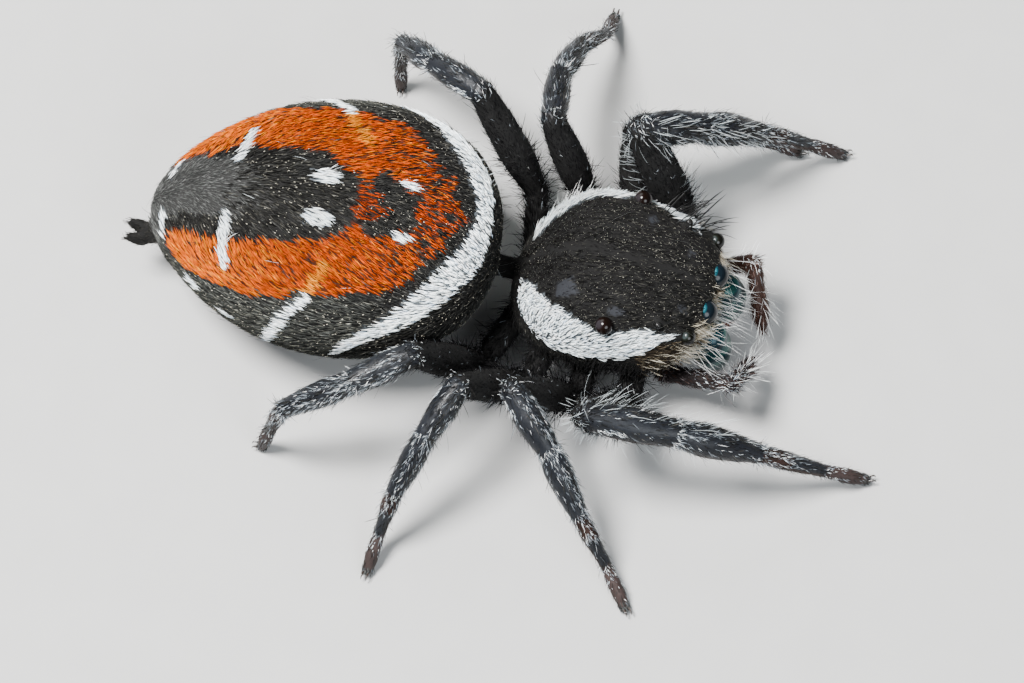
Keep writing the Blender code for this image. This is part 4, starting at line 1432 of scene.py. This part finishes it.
faceLocks = (
    ("shield", (0.0, -1.88, 2.86), 0.16, 120, 0.20, 0.008, 0.60, 0.20, "cream", (0, -1, 0.3)),
    ("shield", (0.80, -1.78, 2.72), 0.22, 80, 0.42, 0.0065, 0.60, 0.12, "cream", (0.2, -1, -0.2)),
    ("shield", (-0.80, -1.78, 2.72), 0.24, 85, 0.50, 0.0065, 0.60, 0.12, "cream", (-0.2, -1, -0.2)),
    ("shield", (-1.25, -1.62, 2.50), 0.34, 90, 0.60, 0.007, 0.50, 0.12, "cream", (-0.1, -1, -0.1)),
    ("shield", (1.25, -1.62, 2.50), 0.34, 90, 0.60, 0.007, 0.50, 0.12, "cream", (0.1, -1, -0.1)),
    ("shield", (-1.45, -1.15, 2.10), 0.42, 45, 0.36, 0.010, 0.50, 0.20, "cream", (-0.2, -1, 0.3)),
    ("shield", (1.45, -1.15, 2.10), 0.42, 45, 0.36, 0.010, 0.50, 0.20, "cream", (0.2, -1, 0.3)),
)
faceHair = (  # per mm2, length, width, lift, bend, tint, towards
    (150, 0.30, 0.012, 0.40, 0.20, "tan", (0, -0.8, -0.5)),
    (70, 0.50, 0.008, 0.45, 0.20, "cream", (0, -1.0, -0.5)),
    (55, 1.05, 0.0060, 0.60, 0.06, "snow", (-0.1, -1.0, -0.5)),
)
podHair = (120, 0.13, 0.010, 0.45, 0.15, "soot")


def growFace(flesh, tree, material):
    # long pale hair over the jaws and cheeks, short hair round the eyes
    coat = Coat("coat_face", tree, np.random.default_rng(59))
    brow = lambda r: (r["place"][:, 1] < -1.75) & (r["place"][:, 2] < 2.62)
    for look in faceHair:
        growHairs(coat, flesh["shield"], *look, test=brow)
    growLocks(coat, flesh, faceLocks)
    notBehind = lambda r: r["normal"][:, 1] < 0.5
    for k, surface in ofKind(flesh, "face"):
        for look in faceHair:
            growHairs(coat, surface, *look, test=notBehind, cell=cellOf(k, 3, 0.3, 0.2))
    for k, surface in ofKind(flesh, "pod"):
        growHairs(coat, surface, *podHair, cell=cellOf(k, 4, 0.7, 0.15))
    coat.build(material)


bodyLocks = (
    # dark bristles by the left front eyes, over the left band and at the rear of the shield
    ("shield", (1.28, -0.85, 3.05), 0.50, 17, 1.10, 0.030, 0.85, 0.22, "jet", (0.9, -0.7, 0.6)),
    ("shield", (1.22, -1.25, 3.00), 0.42, 19, 1.00, 0.028, 0.80, 0.22, "jet", (0.5, -1, 0.3)),
    ("shield", (-1.15, -1.25, 3.00), 0.42, 22, 0.60, 0.012, 0.80, 0.20, "jet", (-0.5, -1, 0.3)),
    ("shield", (1.45, 0.60, 3.05), 0.80, 9, 0.40, 0.010, 0.90, 0.25, "jet", (0.3, -1, 0.3)),
    ("shield", (1.42, 1.60, 2.30), 0.50, 34, 0.55, 0.010, 0.75, 0.20, "snow", (1, 0.1, 0.6)),
    ("shield", (-1.25, 1.75, 2.50), 0.50, 22, 0.45, 0.009, 0.80, 0.25, "mist", (-1, 0.3, 0.3)),
    ("abdomen", (1.35, 3.5, 3.2), 0.9, 8.0, 0.60, 0.0065, 0.85, 0.30, "mist", (0.8, -1, 0.5)),
    ("abdomen", (0.2, 3.1, 3.5), 1.9, 4.5, 0.50, 0.010, 0.85, 0.30, "jet", (0.3, -1, 0.5)),
)
spotHairs = ((1.80, 22), (-0.01, 4), (2.00, -34))  # along the abdomen in mm, degrees from the top
spotHair = (0.13, 170, 0.46, 0.009, 0.72, 0.46, "snow", (0.4, -0.5, 1))
bodyHair = (  # surface, per mm2, length, width, lift, bend, tint, towards
    ("shield", 2.2, 0.40, 0.010, 0.90, 0.30, "jet", (0, -1, 0.2)),
    ("abdomen", 5.5, 0.42, 0.008, 0.60, 0.34, "jet", None),
    ("abdomen", 0.35, 0.42, 0.007, 0.60, 0.36, "mist", None),
)
fringeHair = (  # the forelegs' pale fringe below, and on the inner side
    (40, 0.55, 0.008, 1.05, 0.30, "mist", None, lambda r: np.abs(r["turn"]) > 105),
    (26, 0.72, 0.0075, 0.85, 0.30, "mist", None, lambda r: (r["turn"] < 0) & (r["turn"] > -110)),
)
# dark hair at the shield's edge: real fringe that also stands in for the shade between shield and legs
edgeHair = (170, 0.36, 0.014, 0.45, 0.3, "jet")  # hangs from the shield's lower edge


def growLongHair(flesh, tree, material):
    # bristles of the shield and abdomen, the pale fringe of the forelegs
    coat = Coat("long_hair", tree, np.random.default_rng(61))
    for row, side in enumerate(("right", "left")):
        for column, part in enumerate(("femur", "patella", "tibia")):
            for look in fringeHair:
                growHairs(coat, flesh[f"{side}_1_{part}"], *look, (row * 0.25, column / 3, 0.25, 1 / 3))
    edge = lambda r: (np.abs(r["turn"]) > 84) & (np.abs(r["turn"]) < 112) & (r["place"][:, 1] > -1.2)
    for side in (left, right):
        flank = lambda r: edge(r) & (r["place"][:, 0] * side > 0)
        growHairs(coat, flesh["shield"], *edgeHair, (side, 0, -0.8), flank)
    for name, *look in bodyHair:
        growHairs(coat, flesh[name], *look, test=lambda r: r["place"][:, 2] > 1.6)
    growLocks(coat, flesh, bodyLocks)
    for place in spotHairs:
        growLocks(coat, flesh, (("abdomen", abdomenSpot(*np.array([place]).T)[0], *spotHair),))
    coat.build(material)


underHair = (150, 0.13, 0.014, 0.35, 0.12, "soot")


def growUnder(flesh, tree, material):
    # short coat of sternum, waist and spinnerets
    coat = Coat("coat_under", tree, np.random.default_rng(67))
    for k, surface in ofKind(flesh, "sternum", "waist", "spinneret"):
        toward = (0, 1, 0) if surface["kind"] == "sternum" else None
        growHairs(coat, surface, *underHair, toward, cell=cellOf(k, 4, 0.0, 0.5))
    coat.build(material)


# hard parts: eyes, jaws, fangs and claws
def ballArrays(centre, radius, out):
    # a lens whose poles lie along out
    out = unit(np.array(out, float))
    side = unit(np.cross(out, (0.1, 0.2, 1)))
    above = np.cross(side, out)

    def point(u, v):
        polar, turn = np.pi * u[..., None], tau * v[..., None]
        ring = side * np.cos(turn) + above * np.sin(turn)
        return centre + radius * (out * np.cos(polar) + ring * np.sin(polar))

    return gridArrays(dict(point=point, span=(0.004, 0.996)), 40, 72)


def hardPiece(name, arrays, material, replaced=()):
    thing = meshFrom(name, placed(arrays[0]), arrays[1])
    thing.data.materials.append(material)
    thing.data.shade_smooth()
    thing.data.update()
    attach(thing, "root")
    if replaced:
        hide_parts(*replaced)
    # faces turned out where the arrays run the other way
    bm = bmesh.new()
    bm.from_mesh(thing.data)
    bmesh.ops.recalc_face_normals(bm, faces=bm.faces)
    bm.to_mesh(thing.data)
    bm.free()


# each lens is dark; the coloured ramp stops are painted reflection where the normal faces the given side
eyeLooks = {
    "front_main": dict(
        dark=(0.002, 0.003, 0.004), reflectionSide=(-0.20, 0.50, 0.84),
        paintedReflection=((0.76, (0.003, 0.006, 0.009)), (0.85, (0.006, 0.05, 0.065)), (0.91, (0.03, 0.15, 0.19)),
              (0.98, (0.14, 0.33, 0.40))),
    ),
    "front_side": dict(
        dark=(0.003, 0.003, 0.004), reflectionSide=(-0.3, 0.3, 0.9),
        paintedReflection=((0.78, (0.003, 0.003, 0.002)), (0.94, (0.007, 0.008, 0.006)), (1.0, (0.022, 0.028, 0.028))),
    ),
    "middle": dict(
        dark=(0.003, 0.003, 0.003), reflectionSide=(0, 0, 1),
        paintedReflection=((0.8, (0.006, 0.006, 0.006)), (1.0, (0.010, 0.010, 0.010))),
    ),
    "rear": dict(
        dark=(0.003, 0.002, 0.002), reflectionSide=(-0.35, 0.62, 0.70),
        paintedReflection=((0.62, (0.003, 0.0015, 0.001)), (0.86, (0.005, 0.0024, 0.002)), (1.0, (0.014, 0.012, 0.014))),
    ),
}


def buildEyes():
    lenses = {eye: eyeMaterial("lens_" + eye, look) for eye, look in eyeLooks.items()}
    for eye, sideName, side, centre, radius in eachEye():
        out = (0, -1, 0) if eye.startswith("front") else (side, -0.3, 0.45)
        name = f"{eye}_{sideName}"
        hardPiece("lens_" + name, ballArrays(centre, radius, out), lenses[eye], ("eye_" + name,))


def buildJaws(mottle):
    sheen, horn = jawMaterial(mottle), hornMaterial("fangHorn", mottle)
    for sideName, side in sides.items():
        ends = [sided(chelicera[k], side) for k in ("top", "bottom")]
        jaw = limbSurface("jaw", "jaw", ends, chelicera["radii"], 0.02, (0.8, 0.7), (0, -1, 0.2))
        hardPiece("jaw_" + sideName, gridArrays(jaw, 90, 72), sheen, ("chelicera_" + sideName,))
        points = [sided(p, side) for p in fang["points"]]
        tooth = limbSurface("fang", "fang", points, fang["radii"], 0.0, (0.7, 0.9), (0, -1, 0.2))
        hardPiece("fang_" + sideName, gridArrays(tooth, 60, 32), horn)


clawLook = dict(
    length=0.17, radius=0.022, tipRadius=0.006, spread=0.055, ahead=0.06, above=0.05, arch=0.03,
    hook=(0.03, -0.11),
)


def buildClaws(mottle):
    # two claws to a foot, level and then bent down
    look, surfaces = clawLook, []
    for points in legs.values():
        tarsus, tip = np.array(points[-2:])
        ahead = unit((tip - tarsus) * np.array((1, 1, 0)))
        beside = unit(np.cross(ahead, (0, 0, 1)))
        for side in (left, right):
            foot = tip + ahead * look["ahead"] + beside * side * look["spread"]
            root = foot + np.array((0, 0, look["above"]))
            middle = root + ahead * look["length"] * 0.75 + np.array((0, 0, look["arch"]))
            end = middle + ahead * look["hook"][0] + np.array((0, 0, look["hook"][1]))
            radii = (look["radius"], look["radius"] * 0.8, look["tipRadius"])
            surfaces.append(limbSurface("claw", "claw", (root, middle, end), radii, ends=(0.5, 1.0)))
    arrays = joinedArrays(surfaces, lambda surface: (26, 10))
    hardPiece("claws", arrays, hornMaterial("clawHorn", mottle))


# studio
cameraLook = dict(
    azimuth=-74.0, elevation=65.0, distance=130.0, pixelsPerMm=49.0, aim=(0, 0, 3.2), aimPixel=(624, 261),
    sensor=36.0, frame=(1024, 683),
)


def buildCamera():
    look = cameraLook
    wide, high = look["frame"]
    a, e = math.radians(look["azimuth"]), math.radians(look["elevation"])
    back = np.array((math.sin(a) * math.cos(e), -math.cos(a) * math.cos(e), math.sin(e)))
    rightward = unit(np.cross((0, 0, 1), back))
    upward = np.cross(back, rightward)
    x = (look["aimPixel"][0] - wide / 2) / look["pixelsPerMm"]
    y = (high / 2 - look["aimPixel"][1]) / look["pixelsPerMm"]
    spot = np.array(look["aim"]) - rightward * x - upward * y + back * look["distance"]
    data = bpy.data.cameras.new("camera")
    data.sensor_width = look["sensor"]
    data.lens = look["pixelsPerMm"] * look["distance"] / wide * look["sensor"]
    data.clip_start, data.clip_end = 0.001, 2.0
    turn = Matrix(np.stack([rightward, upward, back], 1).tolist()).to_4x4()
    bpy.context.scene.camera = addObject("camera", data, Matrix.Translation(Vector(placed(spot))) @ turn)


lights = {
    "key": dict(spot=(-14, 48, 118), size=45, power=0.82, colour=(1.0, 0.985, 0.96)),
    "fill": dict(spot=(-70, -70, 80), size=80, power=0.20, colour=(0.92, 0.97, 1.0)),
    "rim": dict(spot=(60, 60, 70), size=70, power=0.06, colour=(0.95, 1.0, 0.97)),
}
worldLook = dict(colour=(0.92, 0.96, 1.0), strength=0.14)
floorLook = dict(half=300.0, drop=0.01, tones=(0.33, 0.36), specks=900, roughness=0.8)


def buildStudio():
    for name, look in lights.items():
        data = bpy.data.lights.new(name, "AREA")
        data.shape = "DISK"
        data.size = look["size"] * mm
        data.energy = look["power"]
        data.color = look["colour"]
        spot = Vector(placed(look["spot"]))
        addObject(name, data, Matrix.Translation(spot) @ spot.to_track_quat("Z", "Y").to_matrix().to_4x4())
    world = bpy.data.worlds.new("studio")
    world.use_nodes = True
    back = world.node_tree.nodes["Background"]
    setInputs(back, {"Color": (*worldLook["colour"], 1), "Strength": worldLook["strength"]})
    bpy.context.scene.world = world
    half, low = floorLook["half"], -floorLook["drop"]
    corners = placed([(-half, -half, low), (half, -half, low), (half, half, low), (-half, half, low)])
    floor = meshFrom("floor", corners, np.array([(0, 1, 2), (0, 2, 3)]))
    material, nodes, links, shader = newMaterial("paleFloor")
    where = put(nodes, "TexCoord")
    speck = put(nodes, "TexNoise", {"Scale": floorLook["specks"]})
    tone = put(nodes, "MapRange", {"To Min": floorLook["tones"][0], "To Max": floorLook["tones"][1]})
    join(
        links,
        (where, "Object", speck, "Vector"),
        (speck, "Fac", tone, "Value"),
        (tone, "Result", shader, "Base Color"),
    )
    setInputs(shader, {"Roughness": floorLook["roughness"]})
    floor.data.materials.append(material)


# putting it together
buildCamera()
buildStudio()
print("camera and studio")
makers = (bodySurfaces, legSurfaces, palpSurfaces, mouthSurfaces, spinneretSurfaces, eyePodSurfaces)
flesh = {surface["name"]: surface for make in makers for surface in make()}
skin, skinTree = buildSkin(flesh.values())
mottle = mottleGroup()
skin.data.materials.append(coatMaterial("cuticle", looks["skin"], mottle))
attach(skin, "root")
fleshNodes = [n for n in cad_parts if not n.startswith(("eye_", "chelicera_"))]
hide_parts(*fleshNodes)
print("skin done")
buildEyes()
buildJaws(mottle)
buildClaws(mottle)
print("eyes, jaws and claws done")
hair = coatMaterial("scaleHair", looks["hair"], mottle)
bristle = coatMaterial("bristleHair", looks["bristle"], mottle)
for grow in (growAbdomen, growShield, growLegs, growPalps, growFace, growUnder):
    grow(flesh, skinTree, hair)
growLongHair(flesh, skinTree, bristle)
print("coat done")
